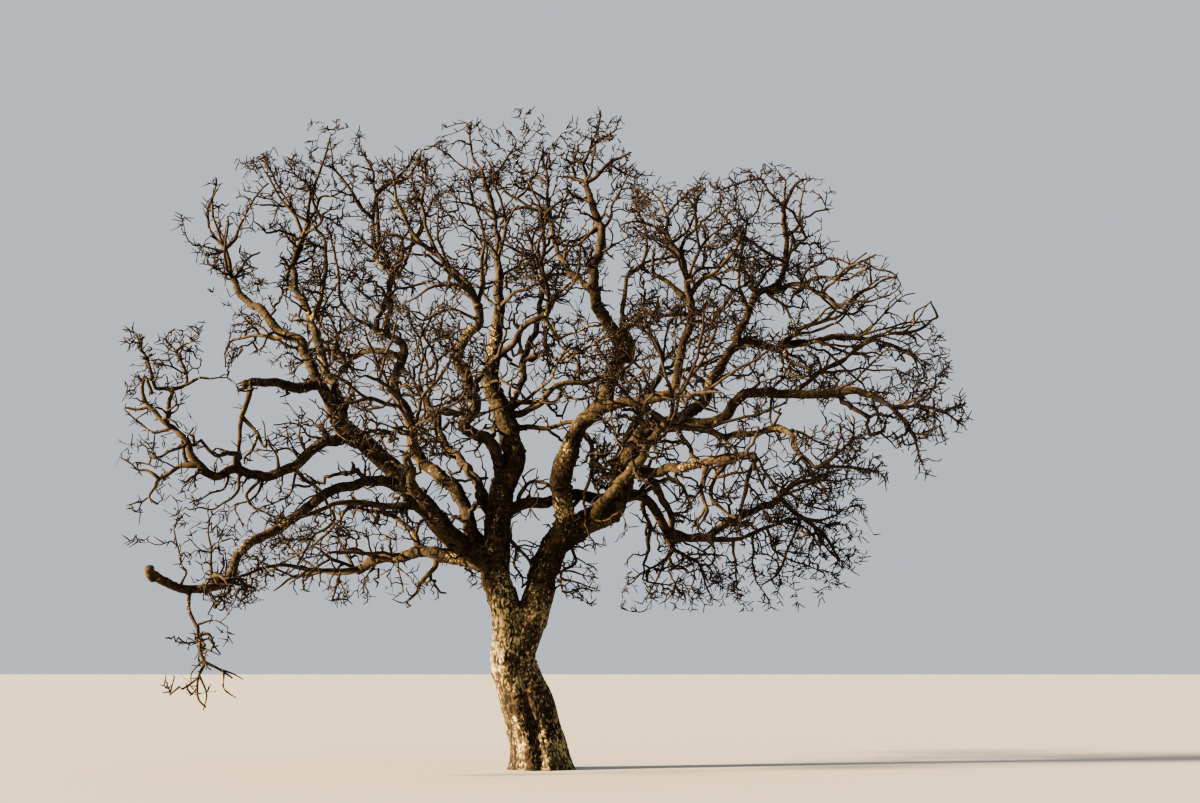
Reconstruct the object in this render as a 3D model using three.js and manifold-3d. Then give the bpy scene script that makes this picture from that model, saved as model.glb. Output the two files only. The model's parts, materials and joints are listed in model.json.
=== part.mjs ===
// A bare oak in winter: a leaning trunk of two fused strands, crooked boughs, and leafless masses of twigs.
// Millimetres, +Z up, +X to the viewer's right, +Y away from the viewer.
// The origin is the middle of the flat cut under the trunk, at ground level.
import * as THREE from "three";
import { mergeVertices } from "three/addons/utils/BufferGeometryUtils.js";
import Module from "manifold-3d";

const wasm = await Module();
wasm.setup();

// Limbs are laid out as they look from in front: [across, up] on the upright plane through the trunk.
// How far each one goes back from that plane (or forward, below zero) is given beside it, and
// inPlace() moves a point that far along the line of sight, so that its look from in front holds.
const EYE = new THREE.Vector3(930, -27000, 1600);
const inPlace = ([across, up], back) =>
  new THREE.Vector3(across, 0, up).sub(EYE).multiplyScalar(1 - back / EYE.y).add(EYE);

const GAP = 0.3; // between neighbouring solids
const COLLAR = { swell: 0.35, reach: 200 }; // a bough is this much thicker where it leaves its parent
const STEP = 330; // between the rings of a limb
const SIDES = [[300, 9], [120, 7], [0, 5]]; // limbs at least this wide have so many sides
const TIP_WIDTH = 21; // of the last twigs
const MASS_GAP = 25; // that twigs keep from limbs and from other masses
const STEM_START = 20; // inside the bough's tip, from which the stem is then cut clear

// The trunk is two strands that fuse up to the fork: [across, up, width] from the foot to the necks.
const STRANDS = [
  { name: "left_strand", back: -20, rings: [[-110, 0, 600], [-175, 420, 570], [-300, 800, 570],
    [-395, 1150, 560], [-520, 1650, 520], [-500, 2000, 510], [-560, 2450, 500], [-650, 2800, 490]] },
  { name: "right_strand", back: 40, rings: [[130, 0, 640], [95, 420, 620], [-20, 800, 600],
    [-130, 1150, 590], [-320, 1650, 500], [-255, 2000, 510], [-110, 2450, 500], [-10, 2800, 480]] },
];
const TRUNK_SIDES = 18;
const TRUNK_DEPTH = 1.25; // from front to back for each width across, at the foot; the necks are round
const FLARE = { swell: 0.3, reach: 240, roots: 5, ridge: 0.12 }; // of the foot

// Boughs: what each leaves, how far back its tip is, its width at root and tip, and its bends.
const BOUGHS = [
  // The two stems above the fork
  { name: "left_stem", from: "left_strand", back: 330, width: [470, 130], swell: 0, way: [
    [-640, 2650], [-750, 3200], [-730, 3700], [-630, 4200], [-450, 4900], [-560, 5450], [-830, 6050],
    [-760, 6700], [-710, 7300]] },
  { name: "right_stem", from: "right_strand", back: 550, width: [460, 190], swell: 0, way: [
    [-30, 2650], [70, 3150], [260, 3520], [620, 3790], [1000, 3980], [1230, 4380], [1420, 4860], [1700, 5260],
    [2180, 5420]] },

  // The left side
  { name: "left_diagonal_bough", from: "left_stem", back: -750, width: [330, 200], way: [[-760, 3130],
    [-1050, 3330], [-1420, 3600], [-1880, 4080], [-2250, 4600], [-2620, 4980], [-3060, 5270],
    [-3340, 5560]] },
  { name: "low_left_bough", from: "left_stem", back: 1800, width: [210, 110], way: [[-750, 3080],
    [-1450, 3310], [-2000, 3340], [-2580, 3230], [-2900, 3080]] },
  { name: "left_arching_bough", from: "left_stem", back: 1200, width: [230, 85], way: [[-760, 3350],
    [-1130, 3680], [-1260, 4150], [-1620, 4620], [-2030, 5020], [-2130, 5500], [-2370, 6060],
    [-2220, 6520], [-2360, 6830], [-2690, 6940]] },
  { name: "left_cross_bough", from: "left_arching_bough", back: 1900, width: [105, 75],
    way: [[-2230, 6450], [-2800, 6590], [-3150, 6510], [-3500, 6600]] },
  { name: "upper_left_bough", from: "left_diagonal_bough", back: 100, width: [185, 75],
    way: [[-3220, 5430], [-3560, 5980], [-3780, 6450], [-3980, 6760], [-4250, 6930], [-4550, 7300],
      [-4830, 7400], [-5030, 7800]] },
  { name: "inner_left_bough", from: "left_diagonal_bough", back: 1200, width: [150, 75],
    way: [[-3130, 5330], [-3350, 5950], [-3430, 6280], [-3620, 6680], [-3760, 7150], [-3970, 7600],
      [-4060, 8050]] },
  { name: "broken_left_bough", from: "upper_left_bough", back: -1150, width: [160, 125],
    way: [[-3600, 6060], [-3950, 6030], [-4420, 6140], [-4830, 6050]] },
  { name: "long_left_bough", from: "left_diagonal_bough", back: -1900, width: [165, 90],
    way: [[-3020, 5240], [-3420, 5100], [-4000, 4670], [-4430, 4600], [-4900, 4720], [-5230, 4580],
      [-5480, 4640]] },
  { name: "long_low_left_bough", from: "left_diagonal_bough", back: -2500, width: [165, 85],
    way: [[-2080, 4350], [-2580, 4470], [-3100, 4470], [-3870, 3950], [-4350, 3620], [-4770, 3330],
      [-4960, 2930], [-5200, 2780], [-5600, 2780], [-5950, 2910], [-6200, 3050]] },
  { name: "hanging_left_bough", from: "long_low_left_bough", back: -2600, width: [60, 42],
    way: [[-5540, 2770], [-5560, 2480], [-5420, 2180], [-5330, 1950]] },
  { name: "s_bend_bough", from: "left_stem", back: -1300, width: [200, 95], way: [[-560, 4400],
    [-780, 5000], [-1060, 5230], [-1250, 5430], [-1120, 5720], [-1190, 6080], [-1370, 6420],
    [-1280, 6750], [-1030, 7000], [-1020, 7400]] },
  { name: "crossing_bough", from: "left_stem", back: -700, width: [100, 65], way: [[-800, 6350],
    [-560, 6740], [-230, 7030], [50, 7180], [130, 7400]] },

  // The centre and the right side
  { name: "centre_bough", from: "right_stem", back: 150, bow: -750, width: [290, 70], way: [[150, 3330],
    [350, 3900], [290, 4500], [370, 4900], [620, 5380], [920, 5800], [1100, 6230], [1230, 6600],
    [1010, 7000], [830, 7600], [820, 8050], [930, 8450], [850, 8900], [710, 9400]] },
  { name: "leader_left_bough", from: "centre_bough", back: 600, width: [95, 55], way: [[850, 7480],
    [450, 7930], [250, 8280], [130, 8780]] },
  { name: "right_front_bough", from: "centre_bough", back: -1850, width: [170, 75], way: [[620, 5380],
    [1100, 5720], [1600, 5820], [2050, 6000], [2250, 6400], [2350, 6900], [2440, 7300],
    [2390, 7800]] },
  { name: "passing_bough", from: "left_stem", back: 2000, width: [180, 80], way: [[-690, 3880],
    [-200, 4170], [650, 4220], [1100, 4170], [1560, 4270], [1850, 4020], [2080, 3680], [2500, 3580],
    [2920, 3810], [3370, 4040], [3800, 4260]] },
  { name: "broken_low_right_bough", from: "passing_bough", back: 1400, width: [85, 50],
    way: [[2050, 3740], [2090, 3400], [2450, 3190], [2600, 2950]] },
  { name: "broken_right_bough", from: "right_stem", back: -1400, width: [170, 120], way: [[1350, 4680],
    [1900, 4670], [2450, 4730], [3280, 4940]] },
  { name: "lower_right_bough", from: "right_stem", back: -1600, width: [105, 65], way: [[2000, 5380],
    [2700, 5310], [3300, 5250], [3740, 5350], [4000, 5180], [4190, 4840]] },
  { name: "right_rising_bough", from: "right_stem", back: 1850, width: [195, 90], way: [[2080, 5400],
    [2560, 5770], [2850, 6250], [3000, 6620], [3350, 6760], [3800, 6620]] },
  { name: "long_right_bough", from: "right_stem", back: -200, width: [185, 80], way: [[2140, 5420],
    [2700, 5460], [3020, 5760], [3330, 5940], [3900, 5860], [4500, 5850], [5000, 5930],
    [5350, 5890]] },
  { name: "upper_right_bough", from: "right_rising_bough", back: 1950, width: [135, 70],
    way: [[3040, 6660], [3250, 7120], [3420, 7500], [3800, 7680], [3960, 8050]] },
  { name: "right_arch_bough", from: "upper_right_bough", back: 1000, width: [85, 55],
    way: [[3560, 7570], [4100, 7680], [4520, 7530]] },

  // The sides that face the viewer and away
  { name: "front_left_bough", from: "left_diagonal_bough", back: -2800, width: [165, 80],
    way: [[-1300, 3500], [-1800, 4050], [-2100, 4750], [-2050, 5350]] },
  { name: "front_right_bough", from: "right_stem", back: -2800, width: [170, 80], way: [[700, 3830],
    [1100, 4300], [1600, 4850], [2000, 5450]] },
  { name: "back_left_bough", from: "left_stem", back: 2900, width: [175, 80], way: [[-720, 3750],
    [-1050, 4450], [-1550, 5150], [-1950, 5900]] },
  { name: "back_right_bough", from: "right_stem", back: 3000, width: [175, 80], way: [[1080, 4100],
    [1180, 4750], [1500, 5450], [1900, 6150]] },
  { name: "top_back_bough", from: "left_stem", back: 2600, width: [120, 65], way: [[-530, 5300],
    [-350, 6200], [-100, 7000], [0, 7700]] },
];

// Masses of twigs: the bough whose tip each grows from, the middle of the space that it fills and how
// far back that is, half its size [across, back, up], how many twigs the seeded rule spreads in it,
// and the tips that it has to reach.
const MASSES = [
  { name: "twigs_top_left_centre", bough: "left_stem", heart: [-850, 8900], back: 350,
    room: [950, 1300, 1450], twigs: 11, tips: [[-700, 8150], [-750, 8750], [-1050, 9650],
      [-1250, 10430], [-300, 10150]] },
  { name: "twigs_low_left", bough: "low_left_bough", heart: [-3550, 3200], back: 2300,
    room: [1200, 1200, 750], twigs: 9, tips: [[-3450, 3050], [-3300, 2600], [-4250, 2750]] },
  { name: "twigs_top_left", bough: "left_arching_bough", heart: [-2500, 8500], back: 1400,
    room: [1000, 1500, 1500], twigs: 12, tips: [[-2600, 7250], [-2420, 7800], [-2700, 8350],
      [-2700, 9150], [-2000, 9950], [-3000, 10000]] },
  { name: "twigs_left_core", bough: "left_cross_bough", heart: [-3700, 7000], back: 2300,
    room: [1200, 1400, 1200], twigs: 10, tips: [] },
  { name: "twigs_upper_left", bough: "upper_left_bough", heart: [-5050, 8500], back: 300,
    room: [750, 1200, 950], twigs: 6, tips: [[-5180, 8250], [-5380, 8800], [-5330, 9380],
      [-4970, 8550], [-4500, 9450], [-5700, 8400]] },
  { name: "twigs_inner_left", bough: "inner_left_bough", heart: [-4000, 9000], back: 1200,
    room: [850, 1300, 1000], twigs: 9, tips: [[-3900, 8500], [-4080, 9000], [-4630, 9830],
      [-3500, 10100]] },
  { name: "twigs_left_middle", bough: "broken_left_bough", heart: [-4650, 5650], back: -1300,
    room: [900, 1000, 850], twigs: 7, tips: [[-4870, 5500], [-4860, 5050]] },
  { name: "twigs_far_left", bough: "long_left_bough", heart: [-5850, 5550], back: -1900,
    room: [900, 1300, 1400], twigs: 6, tips: [[-5560, 4850], [-5800, 5220], [-6150, 5580],
      [-6430, 5980], [-6500, 6870], [-6060, 6900], [-5250, 6200], [-6680, 4900], [-6250, 4250]] },
  { name: "twigs_hanging_left", bough: "hanging_left_bough", heart: [-5250, 1800], back: -2600,
    room: [700, 800, 600], twigs: 6, tips: [[-5390, 1300], [-5000, 1730], [-4700, 1400]] },
  { name: "twigs_s_bend", bough: "s_bend_bough", heart: [-1700, 8300], back: -1900,
    room: [1100, 1300, 1250], twigs: 11, tips: [[-1500, 7900], [-1750, 8250], [-1900, 9550]] },
  { name: "twigs_centre", bough: "crossing_bough", heart: [0, 8300], back: -1300,
    room: [850, 1300, 1000], twigs: 10, tips: [[-300, 9500]] },
  { name: "twigs_crown_top", bough: "centre_bough", heart: [850, 9850], back: 200,
    room: [750, 900, 850], twigs: 5, tips: [[650, 9700], [740, 10000], [920, 10640], [1450, 9880],
      [1550, 9500]] },
  { name: "twigs_top_centre", bough: "leader_left_bough", heart: [0, 9350], back: 900,
    room: [800, 1300, 800], twigs: 9, tips: [[50, 9300], [20, 9980]] },
  { name: "twigs_right_centre", bough: "right_front_bough", heart: [2200, 8500], back: -1800,
    room: [1150, 1300, 950], twigs: 11, tips: [[2250, 8150], [2050, 8850], [2450, 9250]] },
  { name: "twigs_lower_right_back", bough: "passing_bough", heart: [4250, 4150], back: 2200,
    room: [1000, 1300, 1000], twigs: 9, tips: [[4460, 4500], [4970, 4520], [4700, 3250],
      [3500, 2850]] },
  { name: "twigs_low_right", bough: "broken_low_right_bough", heart: [2350, 2950], back: 1200,
    room: [1000, 1200, 550], twigs: 7, tips: [[2650, 2750], [1650, 2600]] },
  { name: "twigs_under_right", bough: "broken_right_bough", heart: [3200, 4400], back: -1900,
    room: [1000, 1100, 800], twigs: 7, tips: [[3450, 4850], [3100, 3700]] },
  { name: "twigs_lower_right", bough: "lower_right_bough", heart: [4650, 5000], back: -1900,
    room: [900, 1200, 750], twigs: 7, tips: [[4470, 4700], [4880, 5100], [5250, 4700]] },
  { name: "twigs_right", bough: "right_rising_bough", heart: [4900, 6500], back: 1700,
    room: [1400, 1500, 900], twigs: 9, tips: [[4450, 6800], [5300, 6820], [6050, 6470],
      [6400, 7120], [6300, 7380]] },
  { name: "twigs_far_right", bough: "long_right_bough", heart: [5950, 5700], back: -300,
    room: [900, 1300, 850], twigs: 6, tips: [[5630, 5720], [6000, 5730], [6450, 5580],
      [6740, 5400], [6760, 5750], [6000, 5050], [6100, 4750]] },
  { name: "twigs_upper_right", bough: "upper_right_bough", heart: [3700, 8600], back: 1950,
    room: [1100, 1400, 950], twigs: 8, tips: [[3960, 8500], [3900, 9000], [3600, 9450],
      [4330, 9480], [2950, 9300]] },
  { name: "twigs_right_arch", bough: "right_arch_bough", heart: [5000, 7600], back: 500,
    room: [950, 1400, 750], twigs: 8, tips: [[4800, 7850], [5270, 8150], [5720, 7780]] },
  { name: "twigs_front_left", bough: "front_left_bough", heart: [-2300, 6100], back: -3600,
    room: [1600, 1500, 1350], twigs: 14, tips: [] },
  { name: "twigs_front_right", bough: "front_right_bough", heart: [2400, 6200], back: -3600,
    room: [1600, 1500, 1350], twigs: 14, tips: [] },
  { name: "twigs_back_left", bough: "back_left_bough", heart: [-2200, 6500], back: 3800,
    room: [1600, 1500, 1400], twigs: 14, tips: [] },
  { name: "twigs_back_right", bough: "back_right_bough", heart: [2300, 6700], back: 3900,
    room: [1600, 1500, 1400], twigs: 14, tips: [] },
  { name: "twigs_top_back", bough: "top_back_bough", heart: [0, 8400], back: 3000,
    room: [1300, 1300, 1000], twigs: 11, tips: [] },
];

// How twigs grow in their space.
const GROWTH = {
  seed: 7919, // times the mass's number
  evenly: 2.399963, // the golden angle, which spreads the twigs' tips round the space
  shell: [0.55, 1], // how far out the tips lie, from the middle of the space to its edge
  detour: 0.35, // how much a longer way back to the stem counts against a joining place
  turn: 0.6, // how much a sharp turn counts against it
  carryOn: 0.45, // how far a twig first goes on in the direction of what it leaves
  crook: 0.07, // sideways bends, for each length of twig
  step: 620, // between the bends of a twig
};

// Repeatable chance: the same seed always gives the same run of numbers from 0 to 1.
function chanceFrom(seed) {
  let state = seed % 2147483647;
  return () => {
    state = (state * 48271) % 2147483647;
    return state / 2147483647;
  };
}

// The limb's points, evenly spaced, and its width at each. bow brings its middle that far forward.
function limbLine({ way, width, back, bow = 0, swell = COLLAR.swell }, root) {
  const last = way.length - 1;
  const bends = way.map((bend, i) => {
    const along = i / last;
    const depth = root.y + (back - root.y) * along + 4 * bow * along * (1 - along);
    return i === 0 ? root : inPlace(bend, depth);
  });
  const curve = new THREE.CatmullRomCurve3(bends, false, "catmullrom", 0.5);
  const length = curve.getLength();
  const steps = Math.ceil(length / STEP);
  const points = curve.getSpacedPoints(steps);
  const widths = points.map((point, i) => {
    const along = i / steps;
    const collar = 1 + swell * Math.exp((-along * length) / COLLAR.reach);
    return (width[0] + (width[1] - width[0]) * along) * collar;
  });
  return { points, widths, sides: SIDES.find(([least]) => width[0] >= least)[1] };
}

// Where a limb leaves its parent: the parent's point that looks nearest to the limb's first bend.
function rootOn(parent, bend) {
  const sight = inPlace(bend, 0);
  const looks = (point) => {
    const seen = point.clone().sub(EYE).multiplyScalar(-EYE.y / (point.y - EYE.y)).add(EYE);
    return seen.distanceTo(sight);
  };
  const tenths = [...Array(10).keys()].map((i) => i / 10);
  const points = parent.points.slice(1).flatMap((end, i) =>
    tenths.map((part) => parent.points[i].clone().lerp(end, part)));
  return points.reduce((best, other) => (looks(other) < looks(best) ? other : best));
}

// A tube through points with its own width at each, as a cylinder whose rings are moved into place.
function tubeThrough(points, widths, sides) {
  const last = points.length - 1;
  const tube = new THREE.CylinderGeometry(1, 1, last, sides, last);
  const across = new THREE.Vector3(1, 0, 0);
  const frames = points.map((point, i) => {
    const ahead = points[Math.min(i + 1, last)].clone().sub(points[Math.max(i - 1, 0)]).normalize();
    if (i === 0 && Math.abs(ahead.x) > 0.9) across.set(0, 1, 0);
    across.addScaledVector(ahead, -across.dot(ahead)).normalize();
    return { across: across.clone(), beside: across.clone().cross(ahead) };
  });
  const corner = new THREE.Vector3();
  const place = tube.attributes.position;
  for (let i = 0; i < place.count; i += 1) {
    corner.fromBufferAttribute(place, i);
    const ring = Math.round(corner.y + last / 2);
    const moved = points[ring].clone()
      .addScaledVector(frames[ring].across, (corner.x * widths[ring]) / 2)
      .addScaledVector(frames[ring].beside, (corner.z * widths[ring]) / 2);
    place.setXYZ(i, moved.x, moved.y, moved.z);
  }
  return solidFrom(tube);
}

// One strand of the trunk: level rings, a spreading foot with root ridges, and a flat cut at each end.
// extra widens it all round.
function strandSolid({ back, rings }, extra) {
  const last = rings.length - 1;
  const middle = new THREE.CatmullRomCurve3(strandLine({ back, rings }), false, "catmullrom", 0.5);
  const strand = new THREE.CylinderGeometry(1, 1, 1, TRUNK_SIDES, last * 2);
  const place = strand.attributes.position;
  for (let i = 0; i < place.count; i += 1) {
    const along = place.getY(i) + 0.5;
    const centre = middle.getPoint(along);
    const ring = Math.min(Math.floor(along * last), last - 1);
    const part = along * last - ring;
    const width = rings[ring][2] * (1 - part) + rings[ring + 1][2] * part;
    const foot = Math.exp(-centre.z / FLARE.reach);
    const turn = Math.atan2(place.getZ(i), place.getX(i));
    const flare = 1 + foot * (FLARE.swell + FLARE.ridge * Math.cos(FLARE.roots * turn));
    const reach = (width / 2) * flare + extra;
    const deep = TRUNK_DEPTH + (1 - TRUNK_DEPTH) * along;
    place.setXYZ(i, centre.x + place.getX(i) * reach, centre.y - place.getZ(i) * reach * deep,
      centre.z + (along === 1 ? extra : 0));
  }
  return solidFrom(strand);
}

const strandLine = ({ back, rings }) =>
  rings.map(([across, up]) => inPlace([across, up], back).setZ(up));

function trunkSolid(extra) {
  const [left, right] = STRANDS.map((strand) => strandSolid(strand, extra));
  return left.add(right);
}

// The room that a limb takes up: the limb grown by GAP all round.
function roomFor({ points, widths, sides }) {
  const longer = [...points];
  longer[0] = alongFrom(points[0], points[1], -GAP);
  longer[points.length - 1] = alongFrom(points.at(-1), points.at(-2), -GAP);
  return tubeThrough(longer, widths.map((width) => width + 2 * GAP), sides);
}

const alongFrom = (start, towards, distance) =>
  towards.clone().sub(start).normalize().multiplyScalar(distance).add(start);

function solidFrom(geometry) {
  geometry.deleteAttribute("normal");
  geometry.deleteAttribute("uv");
  const shared = mergeVertices(geometry, 1e-3);
  return new wasm.Manifold(new wasm.Mesh({
    numProp: 3,
    vertProperties: new Float32Array(shared.attributes.position.array),
    triVerts: new Uint32Array(shared.index.array),
  }));
}

// The largest piece of a solid, without the scraps that a cut leaves.
const wholePiece = (solid) =>
  solid.decompose().reduce((best, piece) => (piece.volume() > best.volume() ? piece : best));

// How near two straight pieces come to each other, from end to end.
function between([a, b], [c, d]) {
  const u = b.clone().sub(a);
  const v = d.clone().sub(c);
  const w = a.clone().sub(c);
  const uu = u.dot(u);
  const uv = u.dot(v);
  const vv = v.dot(v);
  const even = uu * vv - uv * uv;
  const clamp = (value) => Math.min(Math.max(value, 0), 1);
  let s = even > 1e-9 ? clamp((uv * v.dot(w) - vv * u.dot(w)) / even) : 0;
  const t = clamp((uv * s + v.dot(w)) / vv);
  s = clamp((uv * t - u.dot(w)) / uu);
  return w.addScaledVector(u, s).addScaledVector(v, -t).length();
}

// The straight pieces of a line of points, each with its larger width.
const stretches = (points, widths) =>
  points.slice(1).map((point, i) => ({
    ends: [points[i], point], width: Math.max(widths[i], widths[i + 1]),
  }));

// How far out in a mass's space a point lies: 0 at the middle, 1 at the edge.
function farOut(space, point) {
  const offset = point.clone().sub(space.heart);
  return Math.hypot(offset.x / space.room[0], offset.y / space.room[1], offset.z / space.room[2]);
}

const inOthersSpace = (point, space, spaces) =>
  spaces.some((other) => other !== space && farOut(other, point) < Math.min(1, farOut(space, point)));

// The tips that a mass reaches: the ones it has to, then ones spread through its space, nearest first.
function tipsOf(space, stem, chance) {
  const given = space.tips.map((tip) => inPlace(tip, space.back));
  if (given.length === 0) given.push(stem.clone().lerp(space.heart, 0.6));
  const spread = [];
  for (let i = 0; i < space.twigs; i += 1) {
    const up = 1 - (2 * i + 1) / space.twigs;
    const round = i * GROWTH.evenly;
    const level = Math.sqrt(1 - up * up);
    const out = GROWTH.shell[0] + (GROWTH.shell[1] - GROWTH.shell[0]) * chance();
    const offset = new THREE.Vector3(level * Math.cos(round), level * Math.sin(round), up);
    spread.push(space.heart.clone().add(
      offset.multiply(new THREE.Vector3(...space.room)).multiplyScalar(out)));
  }
  const nearest = (a, b) => a.distanceTo(stem) - b.distanceTo(stem);
  return [...given, ...spread.sort(nearest)];
}

// Grows one mass: each tip in turn is joined to the place on the twigs so far from which the way is
// shortest and straightest. Twigs that would leave the space or come near something are skipped.
function growTwigs(space, stem, heading, spaces, obstacles, chance) {
  const places = [{ point: stem, heading, way: 0, before: null, tips: 0 }];
  const twigs = [];
  const crook = () => new THREE.Vector3(chance() - 0.5, chance() - 0.5, chance() - 0.5);
  for (const tip of tipsOf(space, stem, chance)) {
    const cost = (place) => {
      const aim = tip.clone().sub(place.point);
      const distance = aim.length();
      const turn = 1 - aim.dot(place.heading) / distance;
      return distance * (1 + GROWTH.turn * turn) + GROWTH.detour * place.way;
    };
    const from = places.reduce((best, place) => (cost(place) < cost(best) ? place : best));
    const distance = tip.distanceTo(from.point);
    const steps = Math.ceil(distance / GROWTH.step);
    const control = from.point.clone().lerp(tip, 0.5)
      .addScaledVector(from.heading, GROWTH.carryOn * distance * 0.5);
    const points = [from.point];
    for (let i = 1; i <= steps; i += 1) {
      const t = i / steps;
      const point = from.point.clone().multiplyScalar((1 - t) * (1 - t))
        .addScaledVector(control, 2 * t * (1 - t)).addScaledVector(tip, t * t);
      if (i < steps) point.addScaledVector(crook(), 2 * GROWTH.crook * distance);
      points.push(point);
    }
    const wanders = points.slice(1).some((point) => inOthersSpace(point, space, spaces));
    const touches = stretches(points, points.map(() => MASS_GAP * 2)).some((piece, i) =>
      obstacles.some((other) =>
        !(from.before === null && i === 0 && other.own)
        && between(piece.ends, other.ends) < (piece.width + other.width) / 2 + MASS_GAP));
    if (wanders || touches) continue;
    let before = from;
    const grown = points.slice(1).map((point) => {
      const place = { point, before, tips: 0, way: before.way + point.distanceTo(before.point),
        heading: point.clone().sub(before.point).normalize() };
      before = place;
      return place;
    });
    places.push(...grown);
    twigs.push([from, ...grown]);
    for (let place = before; place !== null; place = place.before) place.tips += 1;
  }
  return twigs;
}

// Twigs get thicker towards the stem with the number of tips beyond, from TIP_WIDTH to the bough's tip.
function twigWidths(twig, boughWidth, allTips) {
  const power = Math.log(boughWidth / TIP_WIDTH) / Math.log(allTips);
  return twig.map((place, i) => TIP_WIDTH * (i === 0 ? twig[1].tips : place.tips) ** power);
}

const BARK = { color: "#6d6a52", roughness: 0.95, metalness: 0 };
const TWIG = { color: "#6b5240", roughness: 0.9, metalness: 0 };

function meshOf(name, solid, look) {
  const { vertProperties, triVerts } = solid.getMesh();
  const geometry = new THREE.BufferGeometry();
  geometry.setAttribute("position", new THREE.BufferAttribute(vertProperties, 3));
  geometry.setIndex(new THREE.BufferAttribute(triVerts, 1));
  geometry.computeVertexNormals();
  const mesh = new THREE.Mesh(geometry, new THREE.MeshStandardMaterial(look));
  mesh.name = name;
  return mesh;
}

function buildTree() {
  const tree = new THREE.Group();
  tree.add(meshOf("trunk", trunkSolid(0), BARK));
  let taken = trunkSolid(GAP); // everything so far, grown by GAP
  const limbs = new Map();
  const obstacles = [];
  for (const strand of STRANDS) {
    const points = strandLine(strand);
    limbs.set(strand.name, { points });
    obstacles.push(...stretches(points, strand.rings.map((ring) => ring[2] * TRUNK_DEPTH)));
  }

  for (const bough of BOUGHS) {
    const limb = limbLine(bough, rootOn(limbs.get(bough.from), bough.way[0]));
    limbs.set(bough.name, limb);
    const solid = tubeThrough(limb.points, limb.widths, limb.sides);
    tree.add(meshOf(bough.name, wholePiece(solid.subtract(taken)), BARK));
    taken = taken.add(roomFor(limb));
    limb.pieces = stretches(limb.points, limb.widths);
    obstacles.push(...limb.pieces);
  }

  const spaces = MASSES.map((mass) => ({ ...mass, heart: inPlace(mass.heart, mass.back) }));
  for (const [i, space] of spaces.entries()) {
    const chance = chanceFrom(GROWTH.seed * (i + 1));
    const { points, widths, pieces } = limbs.get(space.bough);
    const heading = points.at(-1).clone().sub(points.at(-2)).normalize();
    const stem = points.at(-1).clone().addScaledVector(heading, -STEM_START);
    for (const piece of obstacles) piece.own = piece === pieces.at(-1);
    const twigs = growTwigs(space, stem, heading, spaces, obstacles, chance);
    const allTips = twigs.length;
    let solid = null;
    for (const twig of twigs) {
      const twigPoints = twig.map((place) => place.point);
      const across = twigWidths(twig, widths.at(-1), allTips);
      const tube = tubeThrough(twigPoints, across, 3);
      solid = solid === null ? tube : solid.add(tube);
      obstacles.push(...stretches(twigPoints, across));
    }
    tree.add(meshOf(space.name, wholePiece(solid.subtract(taken)), TWIG));
  }
  return tree;
}

export default buildTree();
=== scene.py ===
"""A bare oak in winter: furrowed bark over the trunk and boughs, crooked side branches and fine twigs."""
import math

import bpy
import numpy as np
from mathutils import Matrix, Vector
from mathutils.kdtree import KDTree
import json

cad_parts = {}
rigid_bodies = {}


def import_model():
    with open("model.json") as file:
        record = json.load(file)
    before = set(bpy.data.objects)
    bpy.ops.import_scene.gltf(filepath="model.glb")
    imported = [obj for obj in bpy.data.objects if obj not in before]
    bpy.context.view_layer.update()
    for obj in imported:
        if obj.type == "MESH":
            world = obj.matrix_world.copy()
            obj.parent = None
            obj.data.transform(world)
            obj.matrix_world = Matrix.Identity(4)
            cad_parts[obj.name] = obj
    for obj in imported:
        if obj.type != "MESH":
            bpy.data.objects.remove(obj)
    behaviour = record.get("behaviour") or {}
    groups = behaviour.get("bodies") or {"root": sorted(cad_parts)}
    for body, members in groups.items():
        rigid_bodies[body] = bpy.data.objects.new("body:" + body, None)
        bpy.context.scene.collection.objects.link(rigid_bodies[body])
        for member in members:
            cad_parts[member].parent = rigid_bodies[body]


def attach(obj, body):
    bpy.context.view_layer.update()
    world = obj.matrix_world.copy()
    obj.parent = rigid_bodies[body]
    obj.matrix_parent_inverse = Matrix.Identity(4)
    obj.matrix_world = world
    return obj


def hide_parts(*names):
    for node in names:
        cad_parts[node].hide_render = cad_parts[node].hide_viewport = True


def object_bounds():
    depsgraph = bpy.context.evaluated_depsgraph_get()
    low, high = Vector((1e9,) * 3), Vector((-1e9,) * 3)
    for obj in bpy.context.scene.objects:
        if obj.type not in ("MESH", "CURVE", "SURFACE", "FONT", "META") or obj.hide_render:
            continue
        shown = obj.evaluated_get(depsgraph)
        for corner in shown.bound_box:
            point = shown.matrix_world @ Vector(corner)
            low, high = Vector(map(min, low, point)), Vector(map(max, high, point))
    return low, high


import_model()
cad_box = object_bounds()

# The tree is laid out in millimetres, as it looks from in front: (across, up) on the upright plane
# through the trunk. back is how far a limb goes back from that plane, or forward, below zero, and
# in_place() moves its points that far along the line of sight.
MM = 0.001
EYE = np.array([930.0, -27000.0, 1600.0])
LOOKS_UP = 8.8  # degrees
KEY_FROM = (-0.90, -0.24, 0.26)  # the side that the low sun shines from
COLLAR = dict(swell=0.35, reach=200)  # a bough is this much thicker where it leaves its parent
TRUNK_DEPTH = 1.25  # of a strand from front to back, for each width across, at the foot
FLARE = dict(swell=0.3, reach=240, roots=5, ridge=0.12)  # of the foot
STEP = 330  # between the rings of a limb
TIP_WIDTH = 21  # of the last of the leading twigs
MASS_GAP = 25  # that leading twigs keep from limbs and from other masses
STEM_START = 20  # inside the bough's tip
FIRST_TWIG = 0.6  # of the way to the middle of a mass with no known tips
ROOT_PLACES = 10  # on each straight piece of a parent
ROOT_DEPTH = 0.08  # how much a difference in depth counts against a place for a small bough's root

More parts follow.
